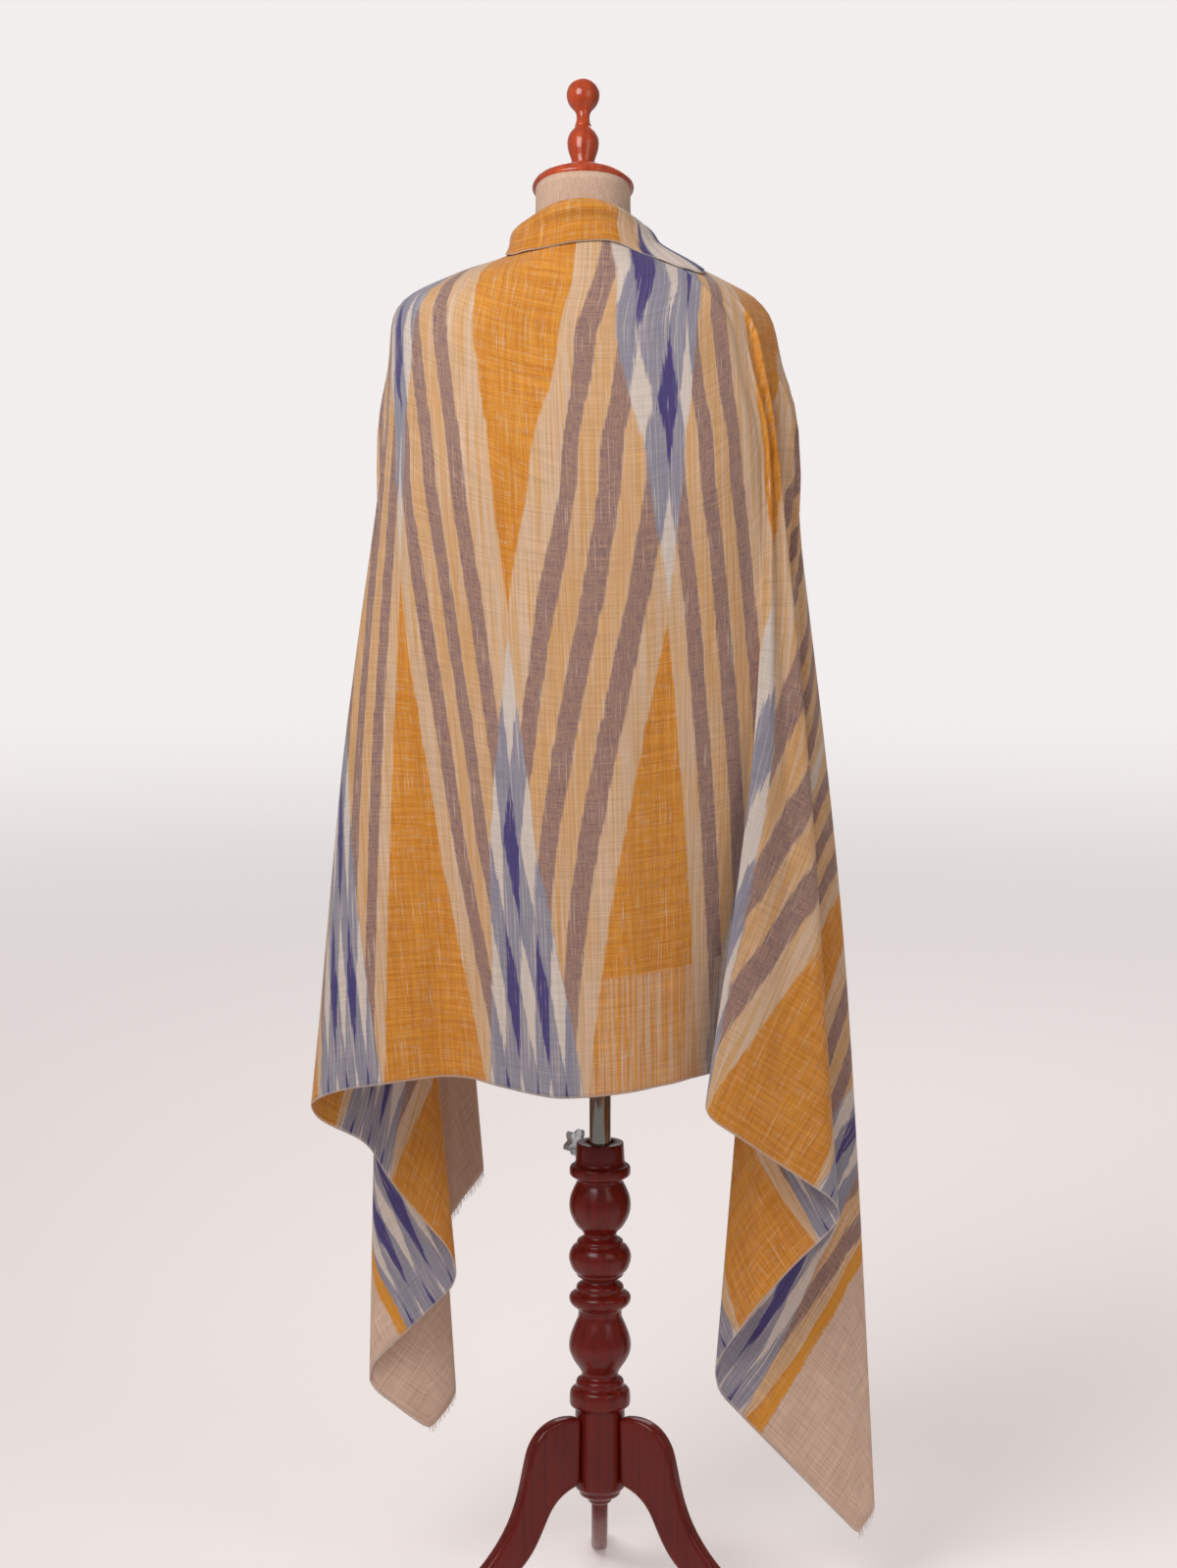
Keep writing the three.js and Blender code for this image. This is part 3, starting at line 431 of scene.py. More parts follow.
shawl_points, shawl_flat = shawl_grid()
chart = np.stack([chart_column(shawl_flat[..., 0], shawl_flat[..., 1]), shawl_flat[..., 1] * MM], axis=-1)
shawl = grid_mesh("shawl", shawl_points, {"flat": shawl_flat * MM, "chart": chart})
shell = shawl.modifiers.new("shell", "SOLIDIFY")
shell.thickness = SHELL * MM
shell.offset = 0


# ---- the combed-out ends ----
STRAND_PITCH = 2.3
STRAND_LENGTH = 11.0
SHORTEST, VARIES = 0.55, 0.6  # as shares of that length
STRAND_WIDTH = 0.5
TAPER = 0.6  # the share of the width that is lost by the tip
STRAND_SIDES = 3
STRAND_STEPS = (0, 0.5, 1)
LEAN, CURL, STRAY = 0.45, 0.5, 0.25  # how much they vary, to the side, in a curve and outwards
ROOT = 0.8  # how deep they start in the cloth
END_MARGIN = 2


def fringe(name, first, last, seed):
    """Yarn ends along one end of the cloth, from place first to place last."""
    draw = np.random.default_rng(seed)
    count = int((last - first) / STRAND_PITCH)
    places = first + (np.arange(count) + 0.5) * (last - first) / count
    hem, above = shawl_points[-1], shawl_points[-2]
    along = np.gradient(hem, axis=0)
    points, faces = [], []
    for place in places:
        def at(values):
            return np.array([np.interp(place, GRID_PLACES, values[:, k]) for k in range(3)])

        root = at(hem)
        down = unit(root - at(above))
        side = unit(at(along))
        out = np.cross(down, side)
        length = STRAND_LENGTH * (SHORTEST + VARIES * draw.random())
        lean = LEAN * (draw.random() - 0.5)
        curl = CURL * (draw.random() - 0.5)
        base = len(points)
        for share in STRAND_STEPS:
            stray = STRAY * (draw.random() - 0.5)
            path = down * share + side * (lean * share + curl * share * share) + out * stray * share
            centre = root - down * ROOT + length * path
            size = STRAND_WIDTH * (1 - TAPER * share)
            for n in range(STRAND_SIDES):
                angle = 2 * math.pi * n / STRAND_SIDES
                points.append(centre + side * size * math.cos(angle) + out * size * math.sin(angle))
        tip = len(points) - STRAND_SIDES
        faces.append(tuple(reversed(range(base, base + STRAND_SIDES))))
        faces += tube_faces(len(STRAND_STEPS), STRAND_SIDES, base)
        faces.append(tuple(range(tip, len(points))))
    return mesh_object(name, np.array(points) * MM + STAND, faces)


left_ends = fringe("left_yarn_ends", END_MARGIN, CLOTH_WIDTH - END_MARGIN, 11)
right_ends = fringe("right_yarn_ends", CLOTH_WIDTH + CLOTH_LENGTH + END_MARGIN, LAST_PLACE - END_MARGIN, 23)


# ---- the dress form ----
FORM_INSET = 1.05  # of the torso under the cloth
FORM_BOTTOM = 756
NECK_TILT = 0.45  # how steeply its top falls towards the front
# Ovals of the torso: z, x, half its width, how far it reaches behind and before the axis, and its slope.
NECK_OVALS = [(1541, -18, 49, 49, 49, NECK_TILT), (1515, -18, 49.5, 50, 49, 0.24)]
BODY_OVALS = [
    (1300, -18, 178, 106, 104, 0), (1235, -18, 158, 104, 118, 0), (1180, -16, 146, 100, 124, 0),
    (1120, -14, 132, 94, 108, 0), (1040, -11, 122, 86, 92, 0), (960, -8, 136, 92, 94, 0),
    (870, -4, 158, 104, 98, 0), (800, -2, 160, 106, 96, 0), (FORM_BOTTOM, 0, 154, 102, 92, 0),
]
# Between the neck and the body it follows the hoops: level and inset.
SHOULDER_LEVELS = [(0.5, 9)] + [(level, FORM_INSET) for level in (1, 1.5, 2, 2.5, 3)] + [(3.5, 7)]


def oval_ring(row, turns):
    """One level or sloping ring of the torso."""
    z, x, half, behind, before, slope = row
    sine, cosine = superellipse(turns)
    y = -np.where(cosine > 0, behind, before) * cosine
    return np.stack([x + half * sine, y, z - slope * y], axis=-1)


def torso_mesh():
    """The torso and its neck as one closed form."""
    sides, finer = 96, 4
    turns = np.arange(sides) * 360 / sides - 180
    rings = [oval_ring(row, turns) for row in NECK_OVALS]
    for level, inset in SHOULDER_LEVELS:
        stops = np.stack([on_hoop(hoop, turns, inset, FORM_INSET) for hoop in HOOPS])
        rings.append(catmull(stops, np.full(sides, level)))
    rings += [oval_ring(row, turns) for row in BODY_OVALS]
    rings = np.stack(rings)
    levels = np.linspace(0, len(rings) - 1, (len(rings) - 1) * finer + 1)
    grid = catmull(rings, np.repeat(levels[:, None], sides, axis=1))
    rows = len(grid)
    points = list(grid.reshape(-1, 3)) + [grid[0].mean(0), grid[-1].mean(0)]
    faces = [face[::-1] for face in tube_faces(rows, sides)]
    top, bottom = len(points) - 2, len(points) - 1
    for j in range(sides):
        k = (j + 1) % sides
        faces.append((j, k, top))
        faces.append(((rows - 1) * sides + k, (rows - 1) * sides + j, bottom))
    return mesh_object("torso_form", np.array(points) * MM + STAND, faces)


def softened(profile, times):
    """A profile with its corners cut, ends kept."""
    rows = np.array(profile, float)
    for _ in range(times):
        a, b = rows[:-1], rows[1:]
        cut = np.stack([mix(a, b, 0.25), mix(a, b, 0.75)], axis=1).reshape(-1, 2)
        rows = np.concatenate([rows[:1], cut[1:-1], rows[-1:]])
    return rows


def lathe(name, profile, sides=72, times=2, place=(0, 0, 0), tilt=0.0):
    """A turned piece from rows of radius and height that start and end on the axis."""
    rows = softened(profile, times)
    points = [(0, 0, rows[0][1])]
    for radius, height in rows[1:-1]:
        for k in range(sides):
            angle = 2 * math.pi * k / sides
            points.append((radius * math.cos(angle), radius * math.sin(angle), height))
    points.append((0, 0, rows[-1][1]))
    end = len(points) - 1
    faces = tube_faces(len(rows) - 2, sides, 1)
    for j in range(sides):
        k = (j + 1) % sides
        faces.append((0, 1 + k, 1 + j))
        faces.append((end, end - sides + j, end - sides + k))
    turn = Matrix.Translation(Vector(place)) @ Matrix.Rotation(-tilt, 4, "X")
    moved = np.array([turn @ Vector(p) for p in points])
    return mesh_object(name, moved * MM + STAND, faces)


torso = torso_mesh()

# ---- the cap and the finial ----
CAP_TILT = math.atan(NECK_TILT)
CAP_TOP = 21.5
CAP_PROFILE = [
    (0, 0), (49.5, 0), (52, 1.5), (52.7, 4), (51.5, 7.5), (47.5, 12.5), (40, 16.5), (28, 19.5),
    (14, CAP_TOP), (0, CAP_TOP),
]
neck_top = NECK_OVALS[0][0] + SLACK
cap = lathe("cap", CAP_PROFILE, 96, 2, (NECK_X, 0, neck_top), CAP_TILT)

FINIAL_PROFILE = [
    (0, 0), (13.5, 0), (14, 2.5), (12, 5), (11, 8), (12.4, 15), (15.2, 23), (16.5, 31), (16, 37), (13.5, 43.5),
    (9.5, 48.5), (8.4, 50), (8.8, 51.5), (7.6, 54), (6.6, 59.5), (7.2, 66), (9.5, 70), (13.6, 74.5),
    (16.4, 80.5), (17.3, 86.4), (16.4, 92.5), (13.6, 98), (9, 102), (4, 103.6), (0, 103.9),
]
reach = CAP_TOP + SLACK
finial_place = (NECK_X, math.sin(CAP_TILT) * reach, neck_top + math.cos(CAP_TILT) * reach)
finial = lathe("finial_knob", FINIAL_PROFILE, 64, 1, finial_place, CAP_TILT)

# ---- the plate, the mast and the turned column ----
PLATE = 12
plate_bottom = FORM_BOTTOM - SLACK - PLATE
plate_profile = [(0, 0), (70, 0), (72, 2), (72, PLATE - 2), (70, PLATE), (0, PLATE)]
plate = lathe("plate", plate_profile, 72, 1, (0, 0, plate_bottom))
POLE_RADIUS = 11.5
POLE_BOTTOM = 215
pole_length = plate_bottom - SLACK - POLE_BOTTOM
pole_profile = [(0, 0), (POLE_RADIUS - 1, 0), (POLE_RADIUS, 1), (POLE_RADIUS, pole_length / 2),
                (POLE_RADIUS, pole_length), (0, pole_length)]
mast = lathe("mast_tube", pole_profile, 48, 0, (0, 0, POLE_BOTTOM))

COLUMN_PROFILE = [
    (0, 130), (8, 130.6), (12.8, 134), (13, 137), (22, 141.5), (22.8, 147), (27, 150), (28, 156), (26.7, 236),
    (26.8, 240), (32.4, 242.5), (32.8, 247), (32.8, 256), (31, 261), (25.5, 264), (26.2, 267.5),
    (25, 271.5), (20, 274.5), (19.6, 279), (22.5, 284), (30, 295), (33.9, 306), (32.8, 318), (27.5, 332),
    (23.5, 341), (23.3, 345), (24, 350), (31, 355), (33.6, 360.5), (32.6, 366), (25, 370.5), (25.9, 373.5),
    (24.5, 377), (19, 380.5), (19.4, 384), (25.2, 386.5), (25.4, 390), (30, 394), (33.5, 404), (33.4, 411),
    (29.5, 419), (24.6, 422), (24.9, 426), (18, 429.5), (17.6, 434), (22, 439), (24.6, 441), (30, 450),
    (33.4, 461), (32.6, 473), (28, 484), (24.4, 491), (25.5, 494.5), (32.4, 497.5), (32.9, 503), (32.2, 508),
    (26.4, 510.5), (26, 522), (25.4, 532.5), (24.2, 534), (12.1, 534), (12.1, 200), (0, 200),
]
column = lathe("turned_column", COLUMN_PROFILE, 72, 2)

# ---- the legs ----
HUB_LOW = 28.3  # the column's radius where a leg's lower and upper ends meet it
HUB_HIGH = 27.0
BOARD = 18
EDGE_ROUNDING = 5.5
FOOT_REACH = 262
CURVE_STEPS = 12
LEG_START = (HUB_HIGH, 232)
LEG_CURVES = [
    [(56, 240), (78, 228), (88, 204)], [(96, 180), (96, 158), (112, 126)], [(134, 84), (178, 52), (226, 30)],
    [(246, 22), (FOOT_REACH + 4, 17), (FOOT_REACH + 4, 7)],
    [(FOOT_REACH + 4, 3), (FOOT_REACH + 2, 0), (FOOT_REACH - 2, 0)],
    [(FOOT_REACH - 12, 0), (FOOT_REACH - 30, 0), (FOOT_REACH - 36, 0)],
    [(202, 2), (150, 34), (104, 73)], [(84, 90), (78, 106), (68, 126)], [(60, 142), (50, 152), (HUB_LOW, 158)],
]


def leg(name, turn):
    """A leg cut from board, its edges rounded over."""
    outline = [Vector(LEG_START)]
    for curve in LEG_CURVES:
        a = outline[-1]
        b, c, d = (Vector(p) for p in curve)
        for k in range(1, CURVE_STEPS + 1):
            t = k / CURVE_STEPS
            outline.append(a * (1 - t) ** 3 + 3 * b * t * (1 - t) ** 2 + 3 * c * t * t * (1 - t) + d * t**3)
    count = len(outline)
    angle = math.radians(turn)
    ahead = Vector((math.cos(angle), math.sin(angle), 0))
    across = Vector((-math.sin(angle), math.cos(angle), 0))
    points = []
    for side in (-BOARD / 2, BOARD / 2):
        points += [ahead * p.x + across * side + Vector((0, 0, p.y)) for p in outline]
    faces = [tuple(range(count)), tuple(range(2 * count - 1, count - 1, -1))]
    faces += [(k, k + count, (k + 1) % count + count, (k + 1) % count) for k in range(count)]
    thing = mesh_object(name, np.array([tuple(p) for p in points]) * MM + STAND, faces)
    mesh = bmesh.new()
    mesh.from_mesh(thing.data)
    bmesh.ops.recalc_face_normals(mesh, faces=mesh.faces)
    mesh.to_mesh(thing.data)
    mesh.free()
    rounding = thing.modifiers.new("rounding", "BEVEL")
    rounding.width = EDGE_ROUNDING * MM
    rounding.segments = 5
    rounding.limit_method = "ANGLE"
    rounding.angle_limit = math.radians(40)
    return thing


LEG_TURNS = {"leg_far": 90, "leg_left": 210, "leg_right": 330}
legs = {node: leg(f"{node}_board", turn) for node, turn in LEG_TURNS.items()}

# ---- the star knob ----
KNOB_HEIGHT = 526
KNOB_TURN = 133  # which way it points, in degrees from +X
KNOB_REACH = 34  # from the stand's axis to the back of its head
KNOB_ROWS = [(0, 0), (0.8, 0), (0.93, 0.5), (1, 1.6), (1, 8.4), (0.93, 9.5), (0.8, 10), (0, 10.6)]  # scale, height
KNOB_RADIUS = 12.2
LOBES = 5
LOBE_DEPTH = 3.4
SCREW_RADIUS = 3
SCREW_START = 12.6


def star_knob():
    """The lobed head, crowned and rounded, and its screw."""
    sides, screw_sides = 80, 24
    points = []
    for scale, height in KNOB_ROWS:
        for k in range(sides):
            angle = 2 * math.pi * k / sides
            radius = scale * (KNOB_RADIUS + LOBE_DEPTH * math.cos(LOBES * angle))
            points.append((radius * math.cos(angle), radius * math.sin(angle), KNOB_REACH + height))
    base = len(points)
    for height in (SCREW_START, KNOB_REACH + SLACK):
        for k in range(screw_sides):
            angle = 2 * math.pi * k / screw_sides
            points.append((SCREW_RADIUS * math.cos(angle), SCREW_RADIUS * math.sin(angle), height))
    faces = tube_faces(len(KNOB_ROWS), sides) + tube_faces(2, screw_sides, base)
    faces.append(tuple(reversed(range(base, base + screw_sides))))
    lift = Matrix.Translation(Vector((0, 0, KNOB_HEIGHT)))
    turn = lift @ Matrix.Rotation(math.radians(KNOB_TURN), 4, "Z") @ Matrix.Rotation(math.pi / 2, 4, "Y")
    moved = np.array([turn @ Vector(p) for p in points])
    return mesh_object("clear_knob", moved * MM + STAND, faces)


knob = star_knob()


# ---- materials ----
def srgb(red, green, blue):
    """A shader colour from the usual 0 to 255 values."""
    def channel(value):
        value /= 255
        return value / 12.92 if value <= 0.04045 else ((value + 0.055) / 1.055) ** 2.4

    return (channel(red), channel(green), channel(blue), 1.0)


class Shader:
    """A short way to write a material's nodes. Values may be numbers or sockets."""

    def __init__(self, name, **settings):
        self.material = bpy.data.materials.new(name)
        self.material.use_nodes = True
        self.tree = self.material.node_tree
        self.bsdf = self.tree.nodes["Principled BSDF"]
        for key, value in settings.items():
            self.bsdf.inputs[key.replace("_", " ")].default_value = value

    def node(self, kind, **settings):
        node = self.tree.nodes.new(kind)
        for key, value in settings.items():
            setattr(node, key, value)
        return node

    def put(self, socket, value):
        if isinstance(value, bpy.types.NodeSocket):
            self.tree.links.new(value, socket)
        else:
            socket.default_value = value

    def math(self, operation, a, b=0.0):
        node = self.node("ShaderNodeMath", operation=operation)
        self.put(node.inputs[0], a)
        self.put(node.inputs[1], b)
        return node.outputs[0]

    def plus(self, a, b):
        return self.math("ADD", a, b)

    def minus(self, a, b):
        return self.math("SUBTRACT", a, b)

    def times(self, a, b):
        return self.math("MULTIPLY", a, b)

    def most(self, first, *others):
        """The greatest of several values."""
        for other in others:
            first = self.math("MAXIMUM", first, other)
        return first

    def shift(self, noise, size):
        """Noise about 0 in place of 0.5, and size times as large."""
        return self.times(self.minus(noise, 0.5), size)

    def split(self, vector):
        node = self.node("ShaderNodeSeparateXYZ")
        self.put(node.inputs[0], vector)
        return tuple(node.outputs)

    def uv(self, name):
        return self.split(self.node("ShaderNodeUVMap", uv_map=name).outputs[0])[:2]

    def place(self):
        return self.node("ShaderNodeTexCoord").outputs["Object"]

    def vector(self, x, y, z=0.0):
        node = self.node("ShaderNodeCombineXYZ")
        for socket, value in zip(node.inputs, (x, y, z)):
            self.put(socket, value)
        return node.outputs[0]

    def noise(self, vector, scale=1.0, detail=2.0, roughness=0.5):
        node = self.node("ShaderNodeTexNoise")
        self.put(node.inputs["Vector"], vector)
        node.inputs["Scale"].default_value = scale
        node.inputs["Detail"].default_value = detail
        node.inputs["Roughness"].default_value = roughness
        return node.outputs["Fac"]

    def streaks(self, u, v, across, along, detail=2.0, roughness=0.5):
        """Noise drawn out along v: across and along are how often it changes in a metre."""
        return self.noise(self.vector(self.times(u, across), self.times(v, along)), 1, detail, roughness)

    def both_ways(self, u, v, warp, weft, detail=2.0):
        """The mean of streaks along v and along u."""
        return self.times(self.plus(self.streaks(u, v, *warp, detail), self.streaks(v, u, *weft, detail)), 0.5)

    def grain(self, across, along, detail, roughness=0.5):
        """Noise in all three directions, drawn out or pressed together along z."""
        x, y, z = self.split(self.place())
        stretched = self.vector(self.times(x, across), self.times(y, across), self.times(z, along))
        return self.noise(stretched, 1, detail, roughness)

    def ramp(self, value, low, high, start=0.0, end=1.0):
        """Goes smoothly from start to end as value goes from low to high."""
        node = self.node("ShaderNodeMapRange", interpolation_type="SMOOTHSTEP")
        for key, one in (("Value", value), ("From Min", low), ("From Max", high), ("To Min", start), ("To Max", end)):
            self.put(node.inputs[key], one)
        return node.outputs[0]

    def band(self, value, low, high, soft):
        """1 between low and high."""
        rise = self.ramp(value, low - soft, low + soft)
        fall = self.ramp(value, high - soft, high + soft, 1, 0)
        return self.times(rise, fall)

    def beyond(self, value, low, high, soft):
        """1 below low and above high."""
        below = self.ramp(value, low - soft, low + soft, 1, 0)
        return self.most(below, self.ramp(value, high - soft, high + soft))

    def blend(self, share, a, b, mode="MIX"):
        node = self.node("ShaderNodeMix", data_type="RGBA", blend_type=mode)
        self.put(node.inputs["Factor"], share)
        self.put(node.inputs[6], a)
        self.put(node.inputs[7], b)
        return node.outputs[2]

    def bump(self, height, strength, distance):
        node = self.node("ShaderNodeBump")
        node.inputs["Strength"].default_value = strength
        node.inputs["Distance"].default_value = distance
        self.put(node.inputs["Height"], height)
        self.put(self.bsdf.inputs["Normal"], node.outputs[0])

    def colour(self, value):
        self.put(self.bsdf.inputs["Base Color"], value)


MUSTARD = srgb(216, 145, 54)
MUSTARD_DEEP = srgb(200, 124, 38)
PALE = srgb(213, 181, 154)
PALE_GOLD = srgb(208, 160, 107)
GOLDEN = srgb(207, 157, 104)
BROWN_BLUE = srgb(86, 74, 98)
SLUB = srgb(226, 204, 182)
BROWN = srgb(160, 125, 110)
BROWN_DARK = srgb(122, 96, 102)
ECRU = srgb(211, 195, 184)
DARK_BLUE = srgb(76, 66, 118)
GREY_BLUE = srgb(142, 137, 150)
END_BAND = srgb(219, 186, 165)
END_BAND_DARK = srgb(206, 171, 149)


# The pattern's limits, on a scale that adds metres down the cloth to the share of the way from the middle of an
# even column to that of an odd one.
MUSTARD_LIMITS = (0.48, 1.485)  # triangles before and beyond
BROWN_STRIPES = ((0.70, 0.825), (0.955, 1.08), (1.21, 1.34))
GOLDEN_STRIPES = ((0.83, 0.945, 0.02), (1.09, 1.20, 0.03))  # and how soft their edges are
SOFT = 0.008
# The chains of lozenges. The upper ones narrow downwards to a tip and the lower ones upwards.
UPPER_TIP, UPPER_SPREAD, UPPER_START = 0.47, 0.86, 0.26
LOWER_TIP, LOWER_SPREAD, LOWER_START = 0.5, 0.9, 0.733
CHAINS_MEET = 0.485
CHAIN_EDGE = (-0.004, 0.014)
LOZENGE_HALF = 0.14  # half of one across, in columns
LOZENGE_STEP = 0.16  # and down, in metres
# Places on the cloth in metres: along it from its middle, or down it from the top selvedge.
STRIPE_LIMITS = (-0.8095, 0.8005)  # a thin mustard stripe begins
PLAIN_LIMITS = (-0.8225, 0.8155)  # and the plain ends beyond it
END_SOFT = 0.0015
# Painted backlight: where the cloth below the form is painted paler, down from v and between u limits with their
# softness
BACKLIT_FROM = (0.868, 0.873)
BACKLIT_SIDES = (-0.062, 0.13, 0.012)
YARN_PITCH = 0.0016


def weave(s, u, v):
    """A plain weave's height, with threads each way."""
    turns = 2 * math.pi / YARN_PITCH
    return s.times(s.math("SINE", s.times(u, turns)), s.math("SINE", s.times(v, turns)))


def cloth_material():
    s = Shader("ikat_pashmina", Roughness=0.88, Sheen_Weight=0.25, Sheen_Roughness=0.5, Specular_IOR_Level=0.15)
    u, v = s.uv("flat")
    column, down = s.uv("chart")
    # each yarn carries its dye a little higher or lower, and the edges wander
    dye = s.plus(s.shift(s.streaks(u, v, 620, 2.2, 1), 0.05), s.shift(s.streaks(u, v, 90, 5), 0.04))
    row = s.plus(down, s.times(dye, 0.5))
    chain_row = s.plus(down, dye)
    column = s.plus(column, s.shift(s.streaks(u, v, 24, 52, 3), 0.026))
    to_odd = s.math("PINGPONG", column, 1)  # 0 in the middle of an even column, 1 in that of an odd one
    scale = s.plus(to_odd, row)

    # ground between the figures, warmer in places
    tone = s.streaks(u, v, 420, 7, 3)
    golden = s.most(*(s.band(scale, *stripe) for stripe in GOLDEN_STRIPES))
    ground = s.blend(s.ramp(tone, 0.38, 0.66), PALE, PALE_GOLD)
    ground = s.blend(s.times(golden, s.ramp(tone, 0.3, 0.6, 0.25, 0.9)), ground, GOLDEN)
    # brown stripes
    brown = s.most(*(s.band(scale, *stripe, SOFT) for stripe in BROWN_STRIPES))
    fleck = s.both_ways(u, v, (900, 70), (760, 60))
    brown_colour = s.blend(s.ramp(fleck, 0.42, 0.66), BROWN, BROWN_DARK)
    spots = s.streaks(u, v, 640, 430, 2, 0.6)
    brown_colour = s.blend(s.ramp(spots, 0.58, 0.76), brown_colour, BROWN_BLUE)
    brown_colour = s.blend(s.ramp(spots, 0.40, 0.24), brown_colour, PALE_GOLD)
    base = s.blend(s.times(brown, 0.94), ground, brown_colour)
    # mustard triangles
    mustard_tone = s.both_ways(u, v, (260, 9), (240, 8), 3)
    mustard_colour = s.blend(s.ramp(mustard_tone, 0.38, 0.62), MUSTARD, MUSTARD_DEEP)
    heather = s.both_ways(u, v, (780, 60), (700, 45))
    mustard_colour = s.blend(s.ramp(heather, 0.50, 0.72, 0, 0.6), mustard_colour, PALE)
    base = s.blend(s.beyond(scale, *MUSTARD_LIMITS, SOFT), base, mustard_colour)

    # chains of lozenges: the lower half of even columns and the upper half of odd ones
    lower = s.minus(s.times(s.minus(chain_row, LOWER_TIP), LOWER_SPREAD), to_odd)
    upper = s.minus(s.times(s.minus(UPPER_TIP, chain_row), UPPER_SPREAD), s.minus(1, to_odd))
    chain = s.ramp(s.most(lower, upper), *CHAIN_EDGE)
    is_lower = s.math("GREATER_THAN", row, CHAINS_MEET)
    side_lower = s.minus(s.math("FLOORED_MODULO", s.plus(column, 1), 2), 1)
    side_upper = s.minus(s.math("FLOORED_MODULO", column, 2), 1)
    side = s.plus(s.times(side_lower, is_lower), s.times(side_upper, s.minus(1, is_lower)))
    start = s.plus(UPPER_START, s.times(is_lower, LOWER_START - UPPER_START))
    across = s.math("DIVIDE", side, LOZENGE_HALF)
    along = s.most(s.math("DIVIDE", s.minus(chain_row, start), LOZENGE_STEP), -1.0)
    wave_across = s.minus(1, s.times(s.math("PINGPONG", across, 1), 2))
    wave_along = s.minus(1, s.times(s.math("PINGPONG", along, 1), 2))
    blue_at = s.times(s.math("ABSOLUTE", s.plus(wave_across, wave_along)), 0.5)
    white_at = s.times(s.math("ABSOLUTE", s.minus(wave_across, wave_along)), 0.5)
    hair = s.streaks(u, v, 520, 9, 3)
    field = s.blend(s.ramp(hair, 0.5, 0.8), GREY_BLUE, ECRU)
    field = s.blend(s.ramp(white_at, 0.50, 0.58), field, ECRU)
    dark = s.blend(s.ramp(hair, 0.55, 0.85), DARK_BLUE, GREY_BLUE)
    field = s.blend(s.ramp(blue_at, 0.50, 0.57), field, dark)
    base = s.blend(chain, base, field)

    # painted backlight: below the form the cloth is painted paler, with pale streaks along its yarns, where light
    # comes through it
    painted_backlight = s.times(s.ramp(v, *BACKLIT_FROM), s.band(u, *BACKLIT_SIDES))
    backlit_yarns = s.ramp(s.streaks(u, v, 330, 6, 3), 0.40, 0.62, 0.08, 0.72)
    base = s.blend(s.times(painted_backlight, backlit_yarns), base, PALE)

    # the plain ends beyond a thin mustard stripe, and the selvedges
    end = s.plus(u, s.shift(s.streaks(v, u, 300, 20), 0.006))
    base = s.blend(s.beyond(end, *STRIPE_LIMITS, END_SOFT), base, MUSTARD)
    end_colour = s.blend(s.ramp(s.both_ways(u, v, (420, 24), (420, 24)), 0.36, 0.64), END_BAND, END_BAND_DARK)
    base = s.blend(s.beyond(end, *PLAIN_LIMITS, END_SOFT), base, end_colour)
    selvedge = s.most(s.ramp(v, 0.0008, 0.002, 1, 0), s.ramp(v, 0.997, 0.9985))
    base = s.blend(s.times(selvedge, 0.6), base, ECRU)

    # pale slubs here and there along the warp
    base = s.blend(s.ramp(s.streaks(u, v, 540, 18), 0.60, 0.74, 0, 0.5), base, SLUB)
    # single yarns, lighter or darker, each way
    yarns = s.both_ways(u, v, (820, 14), (760, 16))
    shade = s.ramp(yarns, 0.3, 0.7, 0.80, 1.16)
    grey = s.node("ShaderNodeCombineColor")
    for socket in grey.inputs:
        s.put(socket, shade)
    s.colour(s.blend(0.85, base, grey.outputs[0], "MULTIPLY"))
    s.bump(s.plus(s.times(weave(s, u, v), 0.5), s.times(yarns, 2.0)), 0.35, 0.0006)
    return s.material


def plain_yarn_material():
    s = Shader("yarn_ends", Roughness=0.9, Sheen_Weight=0.2, Specular_IOR_Level=0.15)
    tone = s.noise(s.place(), 900, 2)
    s.colour(s.blend(s.ramp(tone, 0.3, 0.7), srgb(206, 186, 172), srgb(176, 150, 132)))
    return s.material


def linen_material():
    s = Shader("linen_cover", Roughness=0.92, Sheen_Weight=0.1, Specular_IOR_Level=0.15)
    x, y, z = s.split(s.place())
    turn = s.math("ARCTAN2", s.minus(x, float(STAND[0]) + NECK_X * MM), s.minus(y, float(STAND[1])))
    threads = s.streaks(turn, z, 60, 90)
    slubs = s.streaks(turn, z, 9, 1400, 3)
    fine = s.streaks(turn, z, 80, 60, 3)
    tone = s.times(s.plus(s.plus(threads, slubs), fine), 1 / 3)
    s.colour(s.blend(s.ramp(tone, 0.36, 0.64), srgb(222, 190, 167), srgb(190, 155, 132)))
    s.bump(tone, 0.5, 0.0008)
    return s.material


def wood_material(name, light, dark, gloss, coat):
    s = Shader(name, Roughness=gloss, Coat_Weight=coat, Coat_Roughness=0.1, Specular_IOR_Level=0.2)
    grain = s.grain(160, 5, 4, 0.6)
    cloud = s.noise(s.place(), 14, 3)
    tone = s.plus(s.times(grain, 0.65), s.times(cloud, 0.35))
    s.colour(s.blend(s.ramp(tone, 0.22, 0.78), dark, light))
    s.put(s.bsdf.inputs["Roughness"], s.ramp(grain, 0.3, 0.7, gloss * 0.8, gloss * 1.3))
    s.bump(grain, 0.06, 0.0004)
    return s.material


def steel_material():
    s = Shader("steel", Metallic=1.0, Roughness=0.2)
    scratch = s.grain(30, 900, 2)
    s.colour(s.blend(scratch, srgb(196, 194, 188), srgb(168, 165, 158)))
    s.put(s.bsdf.inputs["Roughness"], s.ramp(scratch, 0.3, 0.7, 0.10, 0.2))
    return s.material


def clear_material():
    s = Shader("clear_plastic", Roughness=0.12, IOR=1.46, Transmission_Weight=0.75)
    haze = s.noise(s.place(), 220, 2)
    s.colour(s.blend(haze, srgb(236, 240, 242), srgb(214, 222, 228)))
    return s.material


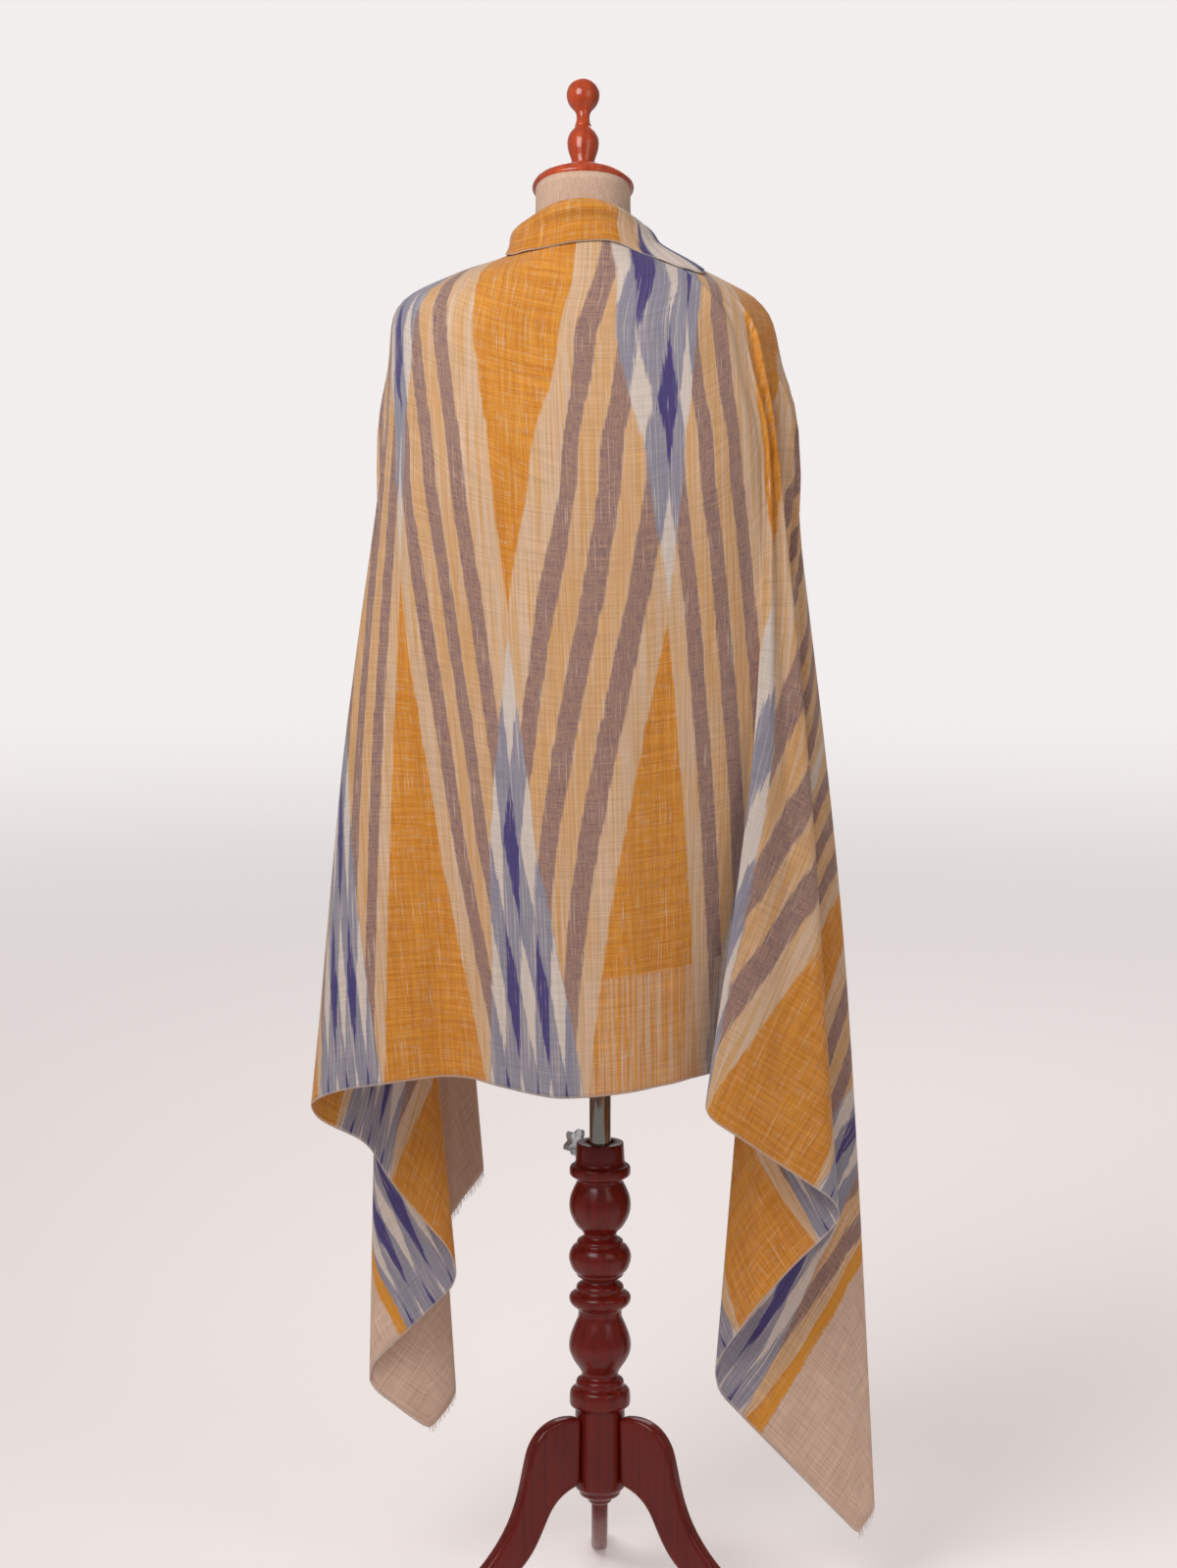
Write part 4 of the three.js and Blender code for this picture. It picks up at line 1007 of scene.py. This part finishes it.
cloth = cloth_material()
mahogany = wood_material("mahogany", srgb(118, 28, 19), srgb(80, 17, 13), 0.28, 0.2)
cherry = wood_material("cherry", srgb(202, 82, 42), srgb(138, 44, 21), 0.22, 0.5)
pieces = [
    (shawl, "form", SHAWL_NODES, "ikat_cloth", cloth),
    (left_ends, "form", ["left_fringe"], "fringe", plain_yarn_material()),
    (right_ends, "form", ["right_fringe"], "fringe", plain_yarn_material()),
    (torso, "form", ["torso"], "linen", linen_material()),
    (cap, "form", ["neck_cap"], "cherry_wood", cherry),
    (finial, "form", ["finial"], "cherry_wood", cherry),
    (plate, "form", ["form_plate"], "mahogany", mahogany),
    (mast, "mast", ["mast"], "steel", steel_material()),
    (column, "stand", ["column"], "mahogany", mahogany),
    (knob, "knob", ["star_knob"], "clear_plastic", clear_material()),
]
pieces += [(legs[node], "stand", [node], "mahogany", mahogany) for node in LEG_TURNS]
for thing, body, nodes, slot, material in pieces:
    thing.data.materials.append(material)
    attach(thing, body)
    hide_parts(*nodes)


# ---- floor, light and camera ----
FLOOR_HALF = 9.0
FLOOR_FADE = (1.5, 7.5)  # how far out it begins to fade, and is gone


def floor():
    """A wide floor that fades into the backdrop."""
    corners = [(x * FLOOR_HALF, y * FLOOR_HALF, 0) for x, y in ((-1, -1), (1, -1), (1, 1), (-1, 1))]
    thing = mesh_object("floor", corners, [(0, 1, 2, 3)], False)
    s = Shader("floor", Roughness=0.8, Specular_IOR_Level=0.2)
    s.colour(srgb(254, 246, 244))
    s.bsdf.inputs["Emission Color"].default_value = srgb(246, 236, 234)
    s.bsdf.inputs["Emission Strength"].default_value = 0.25
    x, y, _ = s.split(s.place())
    distance = s.math("SQRT", s.plus(s.math("POWER", x, 2), s.math("POWER", y, 2)))
    clear = s.node("ShaderNodeBsdfTransparent")
    mixer = s.node("ShaderNodeMixShader")
    s.put(mixer.inputs[0], s.ramp(distance, *FLOOR_FADE))
    s.put(mixer.inputs[1], s.bsdf.outputs[0])
    s.put(mixer.inputs[2], clear.outputs[0])
    s.put(s.tree.nodes["Material Output"].inputs["Surface"], mixer.outputs[0])
    thing.data.materials.append(s.material)
    return thing


floor()
scene = bpy.context.scene
scene.view_settings.view_transform = "Standard"

# The backdrop is seen as one shade and lights the scene as another.
world = scene.world or bpy.data.worlds.new("studio")
scene.world = world
world.use_nodes = True
nodes, links = world.node_tree.nodes, world.node_tree.links
backdrop = nodes["Background"]
backdrop.inputs["Color"].default_value = srgb(244, 240, 239)
backdrop.inputs["Strength"].default_value = 0.985
glow = nodes.new("ShaderNodeBackground")
glow.inputs["Color"].default_value = srgb(246, 242, 240)
glow.inputs["Strength"].default_value = 0.31
choice = nodes.new("ShaderNodeMixShader")
links.new(nodes.new("ShaderNodeLightPath").outputs["Is Camera Ray"], choice.inputs[0])
links.new(glow.outputs[0], choice.inputs[1])
links.new(backdrop.outputs[0], choice.inputs[2])
links.new(choice.outputs[0], nodes["World Output"].inputs["Surface"])


def area_light(name, place, aim, size, power, spread):
    """A rectangular light at place, turned towards aim."""
    light = bpy.data.lights.new(name, "AREA")
    light.shape = "RECTANGLE"
    light.size, light.size_y = size
    light.energy = power
    light.spread = math.radians(spread)
    thing = bpy.data.objects.new(name, light)
    thing.location = place
    thing.rotation_euler = (Vector(aim) - Vector(place)).to_track_quat("-Z", "Y").to_euler()
    scene.collection.objects.link(thing)


area_light("key", (-1.2, -1.8, 2.85), (0, 0, 1.55), (1.5, 1.5), 17, 95)
area_light("fill", (1.9, -2.2, 2.5), (0, 0, 1.2), (1.4, 1.6), 12, 180)
area_light("rim", (0.4, 3.2, 2.8), (0, 0, 1.0), (2.4, 1.6), 26, 180)

CAMERA_PLACE = Vector((-0.0124, -4.30, 1.595)) + Vector(STAND)
CAMERA_DROP = math.radians(8.9)
IMAGE_HEIGHT = 1599  # in the photo's pixels, like the focal length
FOCAL_PIXELS = 4200
FILM = 36
camera_data = bpy.data.cameras.new("camera")
camera_data.sensor_fit = "VERTICAL"
camera_data.sensor_height = FILM
camera_data.lens = FILM * FOCAL_PIXELS / IMAGE_HEIGHT
camera = bpy.data.objects.new("camera", camera_data)
camera.location = CAMERA_PLACE
camera.rotation_euler = (math.pi / 2 - CAMERA_DROP, 0, 0)
scene.collection.objects.link(camera)
scene.camera = camera
